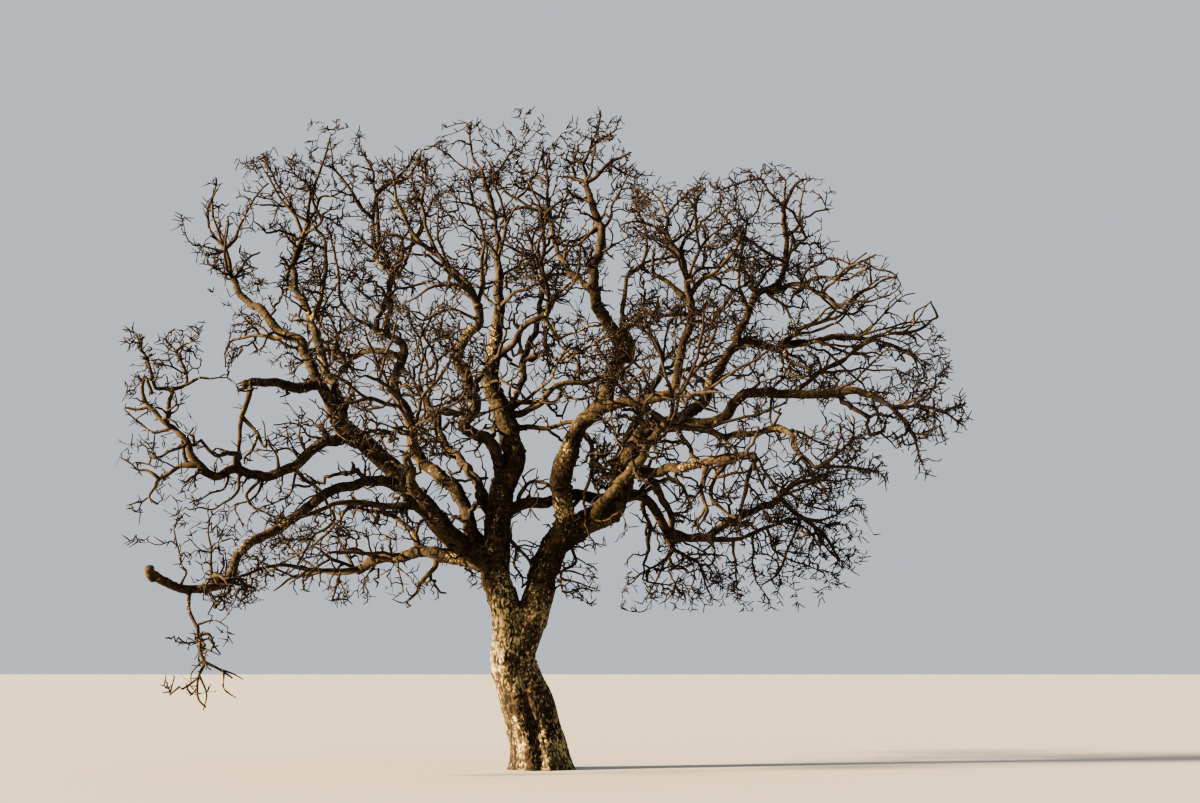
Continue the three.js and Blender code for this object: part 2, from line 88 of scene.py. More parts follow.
# The trunk is two strands that fuse up to the fork: (across, up, width) from the foot to the necks.
STRANDS = [
    dict(name="left_strand", back=-20, rings=[(-110, 0, 600), (-175, 420, 570), (-300, 800, 570),
        (-395, 1150, 560), (-520, 1650, 520), (-500, 2000, 510), (-560, 2450, 500), (-650, 2800, 490)]),
    dict(name="right_strand", back=40, rings=[(130, 0, 640), (95, 420, 620), (-20, 800, 600),
        (-130, 1150, 590), (-320, 1650, 500), (-255, 2000, 510), (-110, 2450, 500), (-10, 2800, 480)]),
]


def new_bough(name, parent, back, width, way, **shape):
    """One limb: what it grows from, how far back its tip is, its width at root and tip, and its bends."""
    return dict(name=name, parent=parent, back=back, width=width, way=way, **shape)


BOUGHS = [
    # The two stems above the fork
    new_bough("left_stem", "left_strand", 330, (470, 130), [(-640, 2650), (-750, 3200), (-730, 3700),
        (-630, 4200), (-450, 4900), (-560, 5450), (-830, 6050), (-760, 6700), (-710, 7300)], swell=0),
    new_bough("right_stem", "right_strand", 550, (460, 190), [(-30, 2650), (70, 3150), (260, 3520),
        (620, 3790), (1000, 3980), (1230, 4380), (1420, 4860), (1700, 5260), (2180, 5420)], swell=0),
    # The left side
    new_bough("left_diagonal_bough", "left_stem", -750, (330, 200), [(-760, 3130), (-1050, 3330),
        (-1420, 3600), (-1880, 4080), (-2250, 4600), (-2620, 4980), (-3060, 5270), (-3340, 5560)]),
    new_bough("low_left_bough", "left_stem", 1800, (210, 110), [(-750, 3080), (-1450, 3310),
        (-2000, 3340), (-2580, 3230), (-2900, 3080)]),
    new_bough("left_arching_bough", "left_stem", 1200, (230, 85), [(-760, 3350), (-1130, 3680),
        (-1260, 4150), (-1620, 4620), (-2030, 5020), (-2130, 5500), (-2370, 6060), (-2220, 6520),
        (-2360, 6830), (-2690, 6940)]),
    new_bough("left_cross_bough", "left_arching_bough", 1900, (105, 75), [(-2230, 6450), (-2800, 6590),
        (-3150, 6510), (-3500, 6600)]),
    new_bough("upper_left_bough", "left_diagonal_bough", 100, (185, 75), [(-3220, 5430), (-3560, 5980),
        (-3780, 6450), (-3980, 6760), (-4250, 6930), (-4550, 7300), (-4830, 7400), (-5030, 7800)]),
    new_bough("inner_left_bough", "left_diagonal_bough", 1200, (150, 75), [(-3130, 5330), (-3350, 5950),
        (-3430, 6280), (-3620, 6680), (-3760, 7150), (-3970, 7600), (-4060, 8050)]),
    new_bough("broken_left_bough", "upper_left_bough", -1150, (160, 125), [(-3600, 6060), (-3950, 6030),
        (-4420, 6140), (-4830, 6050)]),
    new_bough("long_left_bough", "left_diagonal_bough", -1900, (165, 90), [(-3020, 5240), (-3420, 5100),
        (-4000, 4670), (-4430, 4600), (-4900, 4720), (-5230, 4580), (-5480, 4640)]),
    new_bough("long_low_left_bough", "left_diagonal_bough", -2500, (165, 85), [(-2080, 4350),
        (-2580, 4470), (-3100, 4470), (-3870, 3950), (-4350, 3620), (-4770, 3330), (-4960, 2930),
        (-5200, 2780), (-5600, 2780), (-5950, 2910), (-6200, 3050)]),
    new_bough("hanging_left_bough", "long_low_left_bough", -2600, (60, 42), [(-5540, 2770), (-5560, 2480),
        (-5420, 2180), (-5330, 1950)]),
    new_bough("s_bend_bough", "left_stem", -1300, (200, 95), [(-560, 4400), (-780, 5000), (-1060, 5230),
        (-1250, 5430), (-1120, 5720), (-1190, 6080), (-1370, 6420), (-1280, 6750), (-1030, 7000),
        (-1020, 7400)]),
    new_bough("crossing_bough", "left_stem", -700, (100, 65), [(-800, 6350), (-560, 6740), (-230, 7030),
        (50, 7180), (130, 7400)]),
    # The centre and the right side
    new_bough("centre_bough", "right_stem", 150, (290, 70), [(150, 3330), (350, 3900), (290, 4500),
        (370, 4900), (620, 5380), (920, 5800), (1100, 6230), (1230, 6600), (1010, 7000), (830, 7600),
        (820, 8050), (930, 8450), (850, 8900), (710, 9400)], bow=-750),
    new_bough("leader_left_bough", "centre_bough", 600, (95, 55), [(850, 7480), (450, 7930), (250, 8280),
        (130, 8780)]),
    new_bough("right_front_bough", "centre_bough", -1850, (170, 75), [(620, 5380), (1100, 5720),
        (1600, 5820), (2050, 6000), (2250, 6400), (2350, 6900), (2440, 7300), (2390, 7800)]),
    new_bough("passing_bough", "left_stem", 2000, (180, 80), [(-690, 3880), (-200, 4170), (650, 4220),
        (1100, 4170), (1560, 4270), (1850, 4020), (2080, 3680), (2500, 3580), (2920, 3810), (3370, 4040),
        (3800, 4260)]),
    new_bough("broken_low_right_bough", "passing_bough", 1400, (85, 50), [(2050, 3740), (2090, 3400),
        (2450, 3190), (2600, 2950)]),
    new_bough("broken_right_bough", "right_stem", -1400, (170, 120), [(1350, 4680), (1900, 4670),
        (2450, 4730), (3280, 4940)]),
    new_bough("lower_right_bough", "right_stem", -1600, (105, 65), [(2000, 5380), (2700, 5310),
        (3300, 5250), (3740, 5350), (4000, 5180), (4190, 4840)]),
    new_bough("right_rising_bough", "right_stem", 1850, (195, 90), [(2080, 5400), (2560, 5770),
        (2850, 6250), (3000, 6620), (3350, 6760), (3800, 6620)]),
    new_bough("long_right_bough", "right_stem", -200, (185, 80), [(2140, 5420), (2700, 5460),
        (3020, 5760), (3330, 5940), (3900, 5860), (4500, 5850), (5000, 5930), (5350, 5890)]),
    new_bough("upper_right_bough", "right_rising_bough", 1950, (135, 70), [(3040, 6660), (3250, 7120),
        (3420, 7500), (3800, 7680), (3960, 8050)]),
    new_bough("right_arch_bough", "upper_right_bough", 1000, (85, 55), [(3560, 7570), (4100, 7680),
        (4520, 7530)]),
    # The sides that face the viewer and away
    new_bough("front_left_bough", "left_diagonal_bough", -2800, (165, 80), [(-1300, 3500), (-1800, 4050),
        (-2100, 4750), (-2050, 5350)]),
    new_bough("front_right_bough", "right_stem", -2800, (170, 80), [(700, 3830), (1100, 4300),
        (1600, 4850), (2000, 5450)]),
    new_bough("back_left_bough", "left_stem", 2900, (175, 80), [(-720, 3750), (-1050, 4450),
        (-1550, 5150), (-1950, 5900)]),
    new_bough("back_right_bough", "right_stem", 3000, (175, 80), [(1080, 4100), (1180, 4750),
        (1500, 5450), (1900, 6150)]),
    new_bough("top_back_bough", "left_stem", 2600, (120, 65), [(-530, 5300), (-350, 6200), (-100, 7000),
        (0, 7700)]),
]
# Smaller boughs among the twigs, for which the masses stand in the solids: how far back the tip is, the
# width at root and tip, and the bends. Each leaves the limb that looks nearest, at about its own depth.
SMALL_BOUGHS = [
    # The lower left
    (-900, (120, 48), [(-1950, 4080), (-2500, 4110), (-2930, 4180), (-3400, 4100), (-3950, 3850)]),
    (-900, (80, 42), [(-2840, 3080), (-3600, 3080), (-4100, 3180), (-4500, 3060), (-4950, 2930)]),
    (600, (62, 34), [(-2600, 3260), (-3000, 3380), (-3400, 3300)]),
    (1300, (106, 62), [(-1950, 3400), (-2100, 3720), (-2350, 3930), (-2800, 4050)]),
    (900, (94, 38), [(-1650, 3280), (-1690, 3120), (-1900, 2890), (-1960, 2750), (-2120, 2600)]),
    (-900, (60, 34), [(-2200, 3290), (-2520, 3310), (-2800, 3340), (-3120, 3340), (-3320, 3320)]),
    (-500, (32, 16), [(-2340, 3240), (-2240, 2980), (-2170, 2720)]),
    (-600, (28, 15), [(-2130, 3180), (-2060, 2930), (-1890, 2720)]),
    (-700, (30, 15), [(-3200, 3100), (-3150, 2840), (-3010, 2640)]),
    (-700, (28, 15), [(-2560, 3200), (-2790, 2930), (-2720, 2720)]),
    (400, (50, 26), [(-3000, 4060), (-3180, 3990), (-3270, 3800), (-3530, 3500), (-3850, 3320),
        (-4210, 3180), (-4480, 3090)]),
    (-1700, (50, 20), [(-4750, 4700), (-4880, 4320), (-5180, 4030), (-5600, 4080)]),
    (-1500, (52, 30), [(-4450, 4650), (-4650, 4250), (-4350, 3930), (-3880, 3880)]),
    (-1100, (60, 30), [(-3950, 4700), (-3700, 4400), (-3500, 4250), (-3300, 3850), (-3650, 3480),
        (-3860, 3150)]),
    (-1000, (40, 18), [(-3380, 5130), (-3760, 5190), (-3950, 5330), (-4280, 5360)]),
    (-1100, (42, 18), [(-3680, 4870), (-3850, 5050), (-3930, 5330), (-3820, 5570)]),
    (-1050, (36, 18), [(-3840, 4760), (-4030, 4960), (-4360, 4980), (-4590, 5030)]),
    (-1300, (40, 18), [(-4160, 4640), (-4240, 4910), (-4410, 5150), (-4560, 5430)]),
    (-1500, (40, 18), [(-4390, 4620), (-4560, 4170), (-4790, 4030), (-4690, 3710)]),
    (-1200, (36, 18), [(-3890, 4660), (-4010, 4260), (-4380, 4080), (-4600, 3850)]),
    (-900, (34, 18), [(-3370, 4400), (-3780, 4170), (-3910, 3890)]),
    (-1850, (38, 18), [(-5040, 4760), (-5080, 4400), (-5350, 4260), (-5620, 4170)]),
    (-2300, (42, 22), [(-5170, 2820), (-5220, 3240), (-5220, 3400), (-5300, 3850)]),
    (-2500, (40, 20), [(-5700, 2860), (-5670, 2960), (-5620, 3050), (-5690, 3130), (-5750, 3240),
        (-5880, 3700)]),
    (-2550, (108, 104), [(-5050, 2870), (-5200, 2785), (-5600, 2775), (-5950, 2890), (-6120, 2970),
        (-6190, 3030)]),
    (-2550, (135, 112), [(-6130, 2950), (-6170, 3020), (-6195, 3110)]),
    (-2500, (110, 90), [(-5080, 2890), (-5130, 2960), (-5160, 2990)]),
    # Hanging below the lower left
    (-2600, (56, 26), [(-5340, 2000), (-5340, 1770), (-5280, 1620), (-5360, 1430), (-5380, 1240),
        (-5350, 1060), (-5230, 940)]),
    (-2500, (40, 20), [(-5350, 2080), (-5220, 2070), (-5140, 1900), (-5030, 1760)]),
    (-2550, (40, 22), [(-5270, 1660), (-5100, 1560), (-4950, 1470), (-4830, 1390)]),
    (-2550, (30, 17), [(-4980, 1450), (-4970, 1250), (-4870, 1150), (-4770, 1090)]),
    (-2600, (30, 16), [(-5360, 1430), (-5230, 1150), (-5270, 900)]),
    (-2500, (26, 13), [(-5040, 1520), (-4830, 1460), (-4660, 1370)]),
    (-2700, (24, 13), [(-5330, 1650), (-5470, 1480), (-5480, 1300)]),
    (-2450, (30, 16), [(-5400, 2230), (-5150, 2290), (-4940, 2190)]),
    # The far left
    (-1900, (108, 44), [(-5400, 4500), (-5560, 4850), (-5680, 5080), (-5980, 5430), (-6280, 5740),
        (-6440, 5990), (-6390, 6180), (-6330, 6240), (-6220, 5950)]),
    (-1900, (74, 30), [(-6030, 5510), (-5990, 5770), (-5960, 5980), (-6170, 6050), (-6200, 6220),
        (-6260, 6390), (-6400, 6630), (-6410, 6770), (-6530, 6900)]),
    (-1900, (50, 22), [(-5960, 5980), (-5800, 6130), (-5840, 6380), (-5950, 6600), (-6070, 6800),
        (-6040, 6950)]),
    (-1900, (36, 17), [(-5940, 6620), (-5830, 6720), (-5700, 6760), (-5550, 6850)]),
    (-1900, (46, 18), [(-5800, 6090), (-5580, 6180), (-5320, 6180), (-5070, 6220)]),
    (-1900, (44, 22), [(-5980, 5370), (-6170, 5310), (-6260, 5400), (-6420, 5450), (-6560, 5580),
        (-6670, 5660)]),
    (-1850, (40, 30), [(-6280, 5700), (-6480, 5680), (-6660, 5680)]),
    (-1800, (56, 40), [(-5560, 4740), (-5640, 4780), (-5700, 4930), (-5760, 5090)]),
    (-1950, (84, 30), [(-5500, 4700), (-5650, 4760), (-5880, 4710), (-6060, 4610), (-6180, 4530),
        (-6220, 4420), (-6310, 4290), (-6150, 4180)]),
    (-1950, (46, 20), [(-6170, 4540), (-6270, 4630), (-6390, 4680), (-6520, 4690), (-6580, 4780),
        (-6710, 4880)]),
    (-1300, (88, 52), [(-4690, 6020), (-4740, 5770), (-4800, 5530), (-4840, 5310), (-4870, 5060),
        (-4800, 4900)]),
    (-1300, (60, 34), [(-4790, 5520), (-4670, 5360), (-4560, 5230), (-4480, 5080), (-4380, 5060)]),
    (-1300, (44, 26), [(-4590, 5190), (-4640, 5030), (-4720, 4950), (-4750, 4830)]),
    (100, (70, 30), [(-4150, 6900), (-4330, 6860), (-4630, 6840), (-4850, 6780), (-5030, 6720),
        (-5110, 6560)]),
    (100, (36, 18), [(-4840, 6790), (-4810, 7000), (-4700, 7050)]),
    # The upper left
    (100, (66, 26), [(-5030, 7800), (-5100, 8150), (-5250, 8400), (-5420, 8650), (-5420, 8950),
        (-5300, 9250)]),
    (400, (54, 24), [(-5180, 8280), (-4980, 8570), (-4780, 9030), (-4500, 9430)]),
    (1000, (76, 26), [(-4060, 8050), (-4020, 8310), (-3850, 8680), (-4060, 8900), (-4320, 9320),
        (-4600, 9680)]),
    (1200, (54, 24), [(-3850, 8680), (-3810, 8860), (-3610, 9150), (-3420, 9190), (-3200, 9400)]),
    (600, (82, 50), [(-3720, 7050), (-3590, 7680), (-3550, 7900), (-3590, 8390), (-3790, 8700)]),
    (1100, (96, 34), [(-2440, 7000), (-2500, 7640), (-2515, 7950), (-2690, 8120), (-2775, 8520),
        (-2815, 8880), (-2755, 9190), (-2500, 9410), (-2240, 9570), (-2020, 9980)]),
    (1000, (60, 26), [(-2810, 8850), (-3040, 9060), (-3220, 9300), (-3400, 9700), (-3480, 10100)]),
    (1500, (66, 30), [(-2510, 7930), (-2340, 8090), (-2240, 8310), (-2060, 8500), (-1930, 8900),
        (-1700, 9300)]),
    (300, (62, 36), [(-2600, 6850), (-2900, 7050), (-3230, 7330), (-3280, 7800), (-3450, 8400)]),
    (-1500, (105, 40), [(-1060, 7300), (-1250, 7720), (-1620, 8080), (-1940, 8390), (-2300, 8950),
        (-2500, 9500)]),
    (-1000, (75, 34), [(-1150, 5760), (-1450, 5620), (-1710, 5600), (-1690, 5200), (-1540, 4880)]),
    (-1700, (52, 24), [(-1030, 7100), (-1500, 7270), (-1950, 7100), (-2200, 7300)]),
    (400, (52, 22), [(-790, 8900), (-1060, 9520), (-1260, 9630), (-1490, 9830), (-1700, 9990)]),
    (300, (44, 20), [(-850, 9200), (-690, 9680), (-520, 9950), (-230, 10170)]),
    (350, (30, 16), [(-540, 9930), (-440, 10150), (-520, 10300)]),
    (500, (38, 18), [(-240, 9300), (-170, 9520), (-60, 9830), (60, 10010)]),
    # The centre
    (-200, (95, 48), [(-450, 5420), (-100, 5350), (200, 5350), (480, 5430), (760, 5560), (1000, 5640)]),
    (-500, (70, 34), [(-250, 5800), (60, 5720), (350, 5850), (620, 5820), (900, 5950)]),
    (-700, (64, 30), [(-380, 6500), (-60, 6560), (250, 6480), (560, 6560), (900, 6480)]),
    (-300, (60, 30), [(-330, 5600), (-80, 5980), (150, 6180), (300, 6520), (620, 6700)]),
    (200, (56, 26), [(900, 5800), (620, 6150), (560, 6420), (300, 6760), (180, 7000)]),
    (300, (110, 74), [(-560, 5640), (-120, 5690), (90, 5910), (220, 6030), (420, 6090), (740, 6075),
        (980, 6170), (1160, 6290)]),
    (-100, (62, 48), [(-400, 4180), (-220, 4430), (0, 4520), (190, 4350)]),
    (0, (68, 34), [(-520, 3680), (-350, 3430), (-190, 3180), (-180, 2950), (-300, 2800)]),
    (100, (44, 24), [(-420, 3480), (-450, 3240), (-300, 2990), (-280, 2830)]),
    (-450, (62, 34), [(600, 4200), (420, 3870), (470, 3650), (530, 3430), (590, 3240), (500, 3130),
        (350, 3070), (320, 2920), (350, 2740)]),
    (-400, (32, 16), [(350, 3070), (500, 3060), (690, 2990), (900, 2950)]),
    (-300, (30, 16), [(330, 2950), (540, 2890), (740, 2830), (930, 2740)]),
    (0, (36, 16), [(230, 2640), (430, 2720), (680, 2790), (880, 2750)]),
    (-750, (44, 24), [(420, 3860), (740, 3900), (1060, 3940), (1310, 4030)]),
    (-300, (66, 34), [(-690, 7300), (-500, 7480), (-180, 7590), (150, 7900)]),
    (-200, (58, 38), [(80, 7260), (140, 7430), (310, 7580), (490, 7740)]),
    (-500, (55, 36), [(-20, 7110), (105, 7030), (230, 6830), (470, 6900), (900, 6990)]),
    (100, (50, 26), [(1100, 6800), (690, 6640), (480, 6510), (360, 6380), (330, 6200)]),
    (-600, (48, 26), [(-936, 6022), (-780, 6090), (-580, 6100), (-250, 5870), (0, 5800)]),
    (300, (52, 38), [(290, 8110), (390, 8370), (520, 8450), (900, 8590)]),
    (-900, (78, 46), [(1150, 6850), (1440, 7040), (1600, 7190), (1950, 7150), (2400, 7160),
        (2740, 7050)]),
    (-450, (190, 250), [(1190, 6860), (1290, 6730), (1335, 6650)]),
    (-450, (250, 110), [(1290, 6730), (1335, 6650), (1350, 6540), (1340, 6480)]),
    (150, (52, 22), [(960, 8560), (1130, 8820), (1180, 9100), (1450, 9600)]),
    (-200, (50, 28), [(930, 8620), (780, 8560), (420, 8350), (-100, 8600)]),
    (700, (62, 42), [(130, 8700), (-150, 8950), (-450, 8930), (-680, 8680)]),
    (-500, (85, 34), [(1200, 6700), (1330, 7250), (1330, 7850), (1620, 8080), (1700, 8600),
        (1550, 9200)]),
    (-300, (76, 46), [(620, 5290), (740, 5080), (840, 4700), (750, 4360), (640, 4120)]),
    (-900, (34, 20), [(1140, 5560), (1200, 5210), (1370, 4980)]),
    (-500, (44, 22), [(790, 4560), (1100, 4740), (1260, 4980), (1240, 5200)]),
    # The right side
    (700, (84, 48), [(1250, 4120), (1640, 4290), (1820, 4400), (2020, 4500), (2260, 4470), (2370, 4340),
        (2430, 4080)]),
    (-1650, (92, 46), [(2610, 4720), (2560, 4300), (2570, 3870)]),
    (1800, (118, 96), [(1840, 4330), (2030, 4090), (2110, 3830), (2050, 3560)]),
    (1700, (104, 28), [(2060, 3600), (2600, 3550), (3110, 3590), (3620, 3790), (3880, 3870), (4220, 3840),
        (4460, 3490), (4750, 3220)]),
    (-1300, (76, 44), [(2950, 4790), (2750, 4510), (2720, 4210), (2940, 3960), (3110, 3850)]),
    (-1500, (44, 22), [(2860, 4530), (3290, 4670), (3600, 4940)]),
    (1500, (42, 18), [(2050, 3340), (1920, 3090), (1750, 2820), (1600, 2550)]),
    (1300, (36, 16), [(1990, 3230), (1670, 3070), (1410, 2900)]),
    (1300, (34, 16), [(2350, 3240), (2410, 2940), (2320, 2700)]),
    (1200, (38, 17), [(2550, 3080), (2620, 2820), (2720, 2610)]),
    (1600, (44, 22), [(3050, 3560), (3060, 3150), (3110, 2690)]),
    (1500, (42, 17), [(3360, 3640), (3360, 3030), (3480, 2800), (3600, 2610)]),
    (1400, (46, 18), [(3620, 3770), (3680, 3490), (3950, 3240), (4200, 3150), (4470, 3030)]),
    (1500, (44, 18), [(3830, 3870), (4210, 3660), (4460, 3370)]),
    (1700, (42, 18), [(4220, 3840), (4550, 3820), (4890, 3720)]),
    (1800, (34, 18), [(2640, 3560), (2740, 3370), (2700, 3150)]),
    (1900, (50, 20), [(3800, 4190), (4140, 4340), (4480, 4560), (4870, 4640)]),
    (1900, (42, 18), [(3960, 4240), (4300, 4090), (4770, 4040)]),
    (-700, (82, 60), [(2150, 5380), (2380, 4980), (2460, 4760)]),
    (-1000, (75, 40), [(2150, 5420), (2600, 5350), (3200, 5260), (3900, 5330), (4350, 5150)]),
    (-1500, (80, 28), [(2390, 7750), (2290, 8130), (2010, 8460), (2030, 8810), (1800, 9200)]),
    (-1500, (88, 44), [(2440, 7320), (2280, 7480), (2110, 7650), (1900, 7760), (1770, 7900),
        (1790, 8200)]),
    (-1700, (74, 36), [(2430, 7520), (2610, 7780), (2780, 7910), (2890, 8050), (3150, 8350),
        (3250, 8700)]),
    (-1700, (54, 22), [(2290, 8200), (2310, 8400), (2560, 8700), (2950, 9000)]),
    (-1400, (46, 22), [(2100, 8400), (2370, 8570), (2470, 8800), (2470, 9050), (2400, 9370)]),
    (-1000, (58, 36), [(2430, 7000), (2740, 7080), (2860, 7280), (2950, 7480), (3120, 7630),
        (3450, 7830)]),
    (700, (58, 26), [(3250, 7200), (3240, 7700), (3300, 8450), (3330, 8790), (3450, 8920), (3610, 9300)]),
    (1950, (94, 32), [(3950, 8000), (3980, 8350), (3900, 8720), (3890, 9010), (3940, 9400)]),
    (1500, (54, 26), [(3960, 8480), (4150, 8660), (4230, 8950), (4290, 9350)]),
    (700, (60, 34), [(4450, 7570), (4640, 7470), (4770, 7320), (4660, 7120), (4360, 7020)]),
    (300, (56, 28), [(4300, 7640), (4400, 7780), (4660, 7830), (5000, 7830), (5400, 8050)]),
    (700, (48, 24), [(4200, 7680), (4350, 7930), (4660, 8110), (4960, 8050), (5250, 8250)]),
    (1100, (80, 34), [(3800, 6630), (4040, 6840), (4260, 7010), (4520, 7060), (4860, 7210), (5200, 7570),
        (5750, 7800)]),
    (1300, (70, 28), [(3780, 6610), (4250, 6700), (4580, 6820), (4880, 6820), (5400, 6950),
        (6050, 7050)]),
    (500, (80, 50), [(4050, 5900), (4450, 6260), (4850, 6500), (5300, 6830)]),
    (700, (56, 20), [(5200, 6780), (5500, 6900), (5950, 7010), (6250, 7370)]),
    (-500, (50, 18), [(4600, 5880), (5200, 6250), (5600, 6650), (6050, 6420)]),
    (-500, (48, 26), [(3750, 5880), (3700, 5480), (3850, 5150)]),
    (900, (52, 22), [(4090, 6860), (4510, 6950), (4890, 7190), (5180, 7520), (5370, 7720), (5750, 7790)]),
    (900, (46, 20), [(4410, 6710), (4970, 6710), (5350, 6860), (5810, 6760), (6040, 6520), (6270, 6500)]),
    (800, (36, 18), [(5170, 7050), (5540, 7190), (5830, 7430), (6050, 7520)]),
    (700, (40, 18), [(5350, 6880), (5630, 7000), (6010, 7050), (6410, 7130)]),
    (600, (32, 16), [(5990, 7070), (6040, 7260), (6320, 7390)]),
    (300, (52, 24), [(4120, 6240), (4500, 6290), (4870, 6520), (5160, 6710), (5460, 6810)]),
    (200, (42, 18), [(4500, 6240), (5150, 6320), (5710, 6280), (5980, 6190)]),
    (600, (66, 42), [(3700, 6690), (3970, 6550), (4040, 6240), (4240, 6190), (4590, 6290)]),
    (900, (34, 18), [(5310, 7700), (5310, 7960), (5290, 8150)]),
    (1200, (44, 20), [(4330, 7240), (4750, 7310), (5080, 7190)]),
    (1400, (54, 32), [(3630, 7430), (3960, 7280), (4090, 7000)]),
]


def new_mass(name, bough, heart, back, room, twigs, tips=()):
    """One mass of twigs: its bough, the middle and half the size of its space, its twigs and known tips."""
    return dict(name=name, bough=bough, heart=heart, back=back, room=room, twigs=twigs, tips=tips)


MASSES = [
    new_mass("twigs_top_left_centre", "left_stem", (-850, 8900), 350, (950, 1300, 1450), 11, [
        (-700, 8150), (-750, 8750), (-1050, 9650), (-1250, 10430), (-300, 10150)]),
    new_mass("twigs_low_left", "low_left_bough", (-3550, 3200), 2300, (1200, 1200, 750), 9, [
        (-3450, 3050), (-3300, 2600), (-4250, 2750)]),
    new_mass("twigs_top_left", "left_arching_bough", (-2500, 8500), 1400, (1000, 1500, 1500), 12, [
        (-2600, 7250), (-2420, 7800), (-2700, 8350), (-2700, 9150), (-2000, 9950), (-3000, 10000)]),
    new_mass("twigs_left_core", "left_cross_bough", (-3700, 7000), 2300, (1200, 1400, 1200), 10),
    new_mass("twigs_upper_left", "upper_left_bough", (-5050, 8500), 300, (750, 1200, 950), 6, [
        (-5180, 8250), (-5380, 8800), (-5330, 9380), (-4970, 8550), (-4500, 9450), (-5700, 8400)]),
    new_mass("twigs_inner_left", "inner_left_bough", (-4000, 9000), 1200, (850, 1300, 1000), 9, [
        (-3900, 8500), (-4080, 9000), (-4630, 9830), (-3500, 10100)]),
    new_mass("twigs_left_middle", "broken_left_bough", (-4650, 5650), -1300, (900, 1000, 850), 7, [
        (-4870, 5500), (-4860, 5050)]),
    new_mass("twigs_far_left", "long_left_bough", (-5850, 5550), -1900, (900, 1300, 1400), 6, [
        (-5560, 4850), (-5800, 5220), (-6150, 5580), (-6430, 5980), (-6500, 6870), (-6060, 6900),
        (-5250, 6200), (-6680, 4900), (-6250, 4250)]),
    new_mass("twigs_hanging_left", "hanging_left_bough", (-5250, 1800), -2600, (700, 800, 600), 6, [
        (-5390, 1300), (-5000, 1730), (-4700, 1400)]),
    new_mass("twigs_s_bend", "s_bend_bough", (-1700, 8300), -1900, (1100, 1300, 1250), 11, [(-1500, 7900),
        (-1750, 8250), (-1900, 9550)]),
    new_mass("twigs_centre", "crossing_bough", (0, 8300), -1300, (850, 1300, 1000), 10, [(-300, 9500)]),
    new_mass("twigs_crown_top", "centre_bough", (850, 9850), 200, (750, 900, 850), 5, [(650, 9700),
        (740, 10000), (920, 10640), (1450, 9880), (1550, 9500)]),
    new_mass("twigs_top_centre", "leader_left_bough", (0, 9350), 900, (800, 1300, 800), 9, [(50, 9300),
        (20, 9980)]),
    new_mass("twigs_right_centre", "right_front_bough", (2200, 8500), -1800, (1150, 1300, 950), 11, [
        (2250, 8150), (2050, 8850), (2450, 9250)]),
    new_mass("twigs_lower_right_back", "passing_bough", (4250, 4150), 2200, (1000, 1300, 1000), 9, [
        (4460, 4500), (4970, 4520), (4700, 3250), (3500, 2850)]),
    new_mass("twigs_low_right", "broken_low_right_bough", (2350, 2950), 1200, (1000, 1200, 550), 7, [
        (2650, 2750), (1650, 2600)]),
    new_mass("twigs_under_right", "broken_right_bough", (3200, 4400), -1900, (1000, 1100, 800), 7, [
        (3450, 4850), (3100, 3700)]),
    new_mass("twigs_lower_right", "lower_right_bough", (4650, 5000), -1900, (900, 1200, 750), 7, [
        (4470, 4700), (4880, 5100), (5250, 4700)]),
    new_mass("twigs_right", "right_rising_bough", (4900, 6500), 1700, (1400, 1500, 900), 9, [(4450, 6800),
        (5300, 6820), (6050, 6470), (6400, 7120), (6300, 7380)]),
    new_mass("twigs_far_right", "long_right_bough", (5950, 5700), -300, (900, 1300, 850), 6, [
        (5630, 5720), (6000, 5730), (6450, 5580), (6740, 5400), (6760, 5750), (6000, 5050),
        (6100, 4750)]),
    new_mass("twigs_upper_right", "upper_right_bough", (3700, 8600), 1950, (1100, 1400, 950), 8, [
        (3960, 8500), (3900, 9000), (3600, 9450), (4330, 9480), (2950, 9300)]),
    new_mass("twigs_right_arch", "right_arch_bough", (5000, 7600), 500, (950, 1400, 750), 8, [
        (4800, 7850), (5270, 8150), (5720, 7780)]),
    new_mass("twigs_front_left", "front_left_bough", (-2300, 6100), -3600, (1600, 1500, 1350), 14),
    new_mass("twigs_front_right", "front_right_bough", (2400, 6200), -3600, (1600, 1500, 1350), 14),
    new_mass("twigs_back_left", "back_left_bough", (-2200, 6500), 3800, (1600, 1500, 1400), 14),
    new_mass("twigs_back_right", "back_right_bough", (2300, 6700), 3900, (1600, 1500, 1400), 14),
    new_mass("twigs_top_back", "top_back_bough", (0, 8400), 3000, (1300, 1300, 1000), 11),
]

# How the leading twigs grow in their space
GROWTH = dict(seed=7919, evenly=2.399963, shell=(0.55, 1.0), detour=0.35, turn=0.6, carry_on=0.45,
              crook=0.07, step=620)

# How the rule is carried on to finer twigs. Tips stand one to a cell of space, wherever a twig is near
# enough; each is joined in a few bends that stray by a part of the way, and ends this wide.
SIDE_BRANCHES = dict(cell=425, near=(180, 800), bends=6, crook=0.11, tip=43, inside=0.5)
FINE_TWIGS = dict(cell=275, near=(85, 330), bends=3, crook=0.14, tip=25, inside=0.35)
STRAY = 0.6  # how much of its kind's crook one bend strays
TOO_NEAR = 0.6  # a tip nearer than this share of its kind's least distance grows no twig
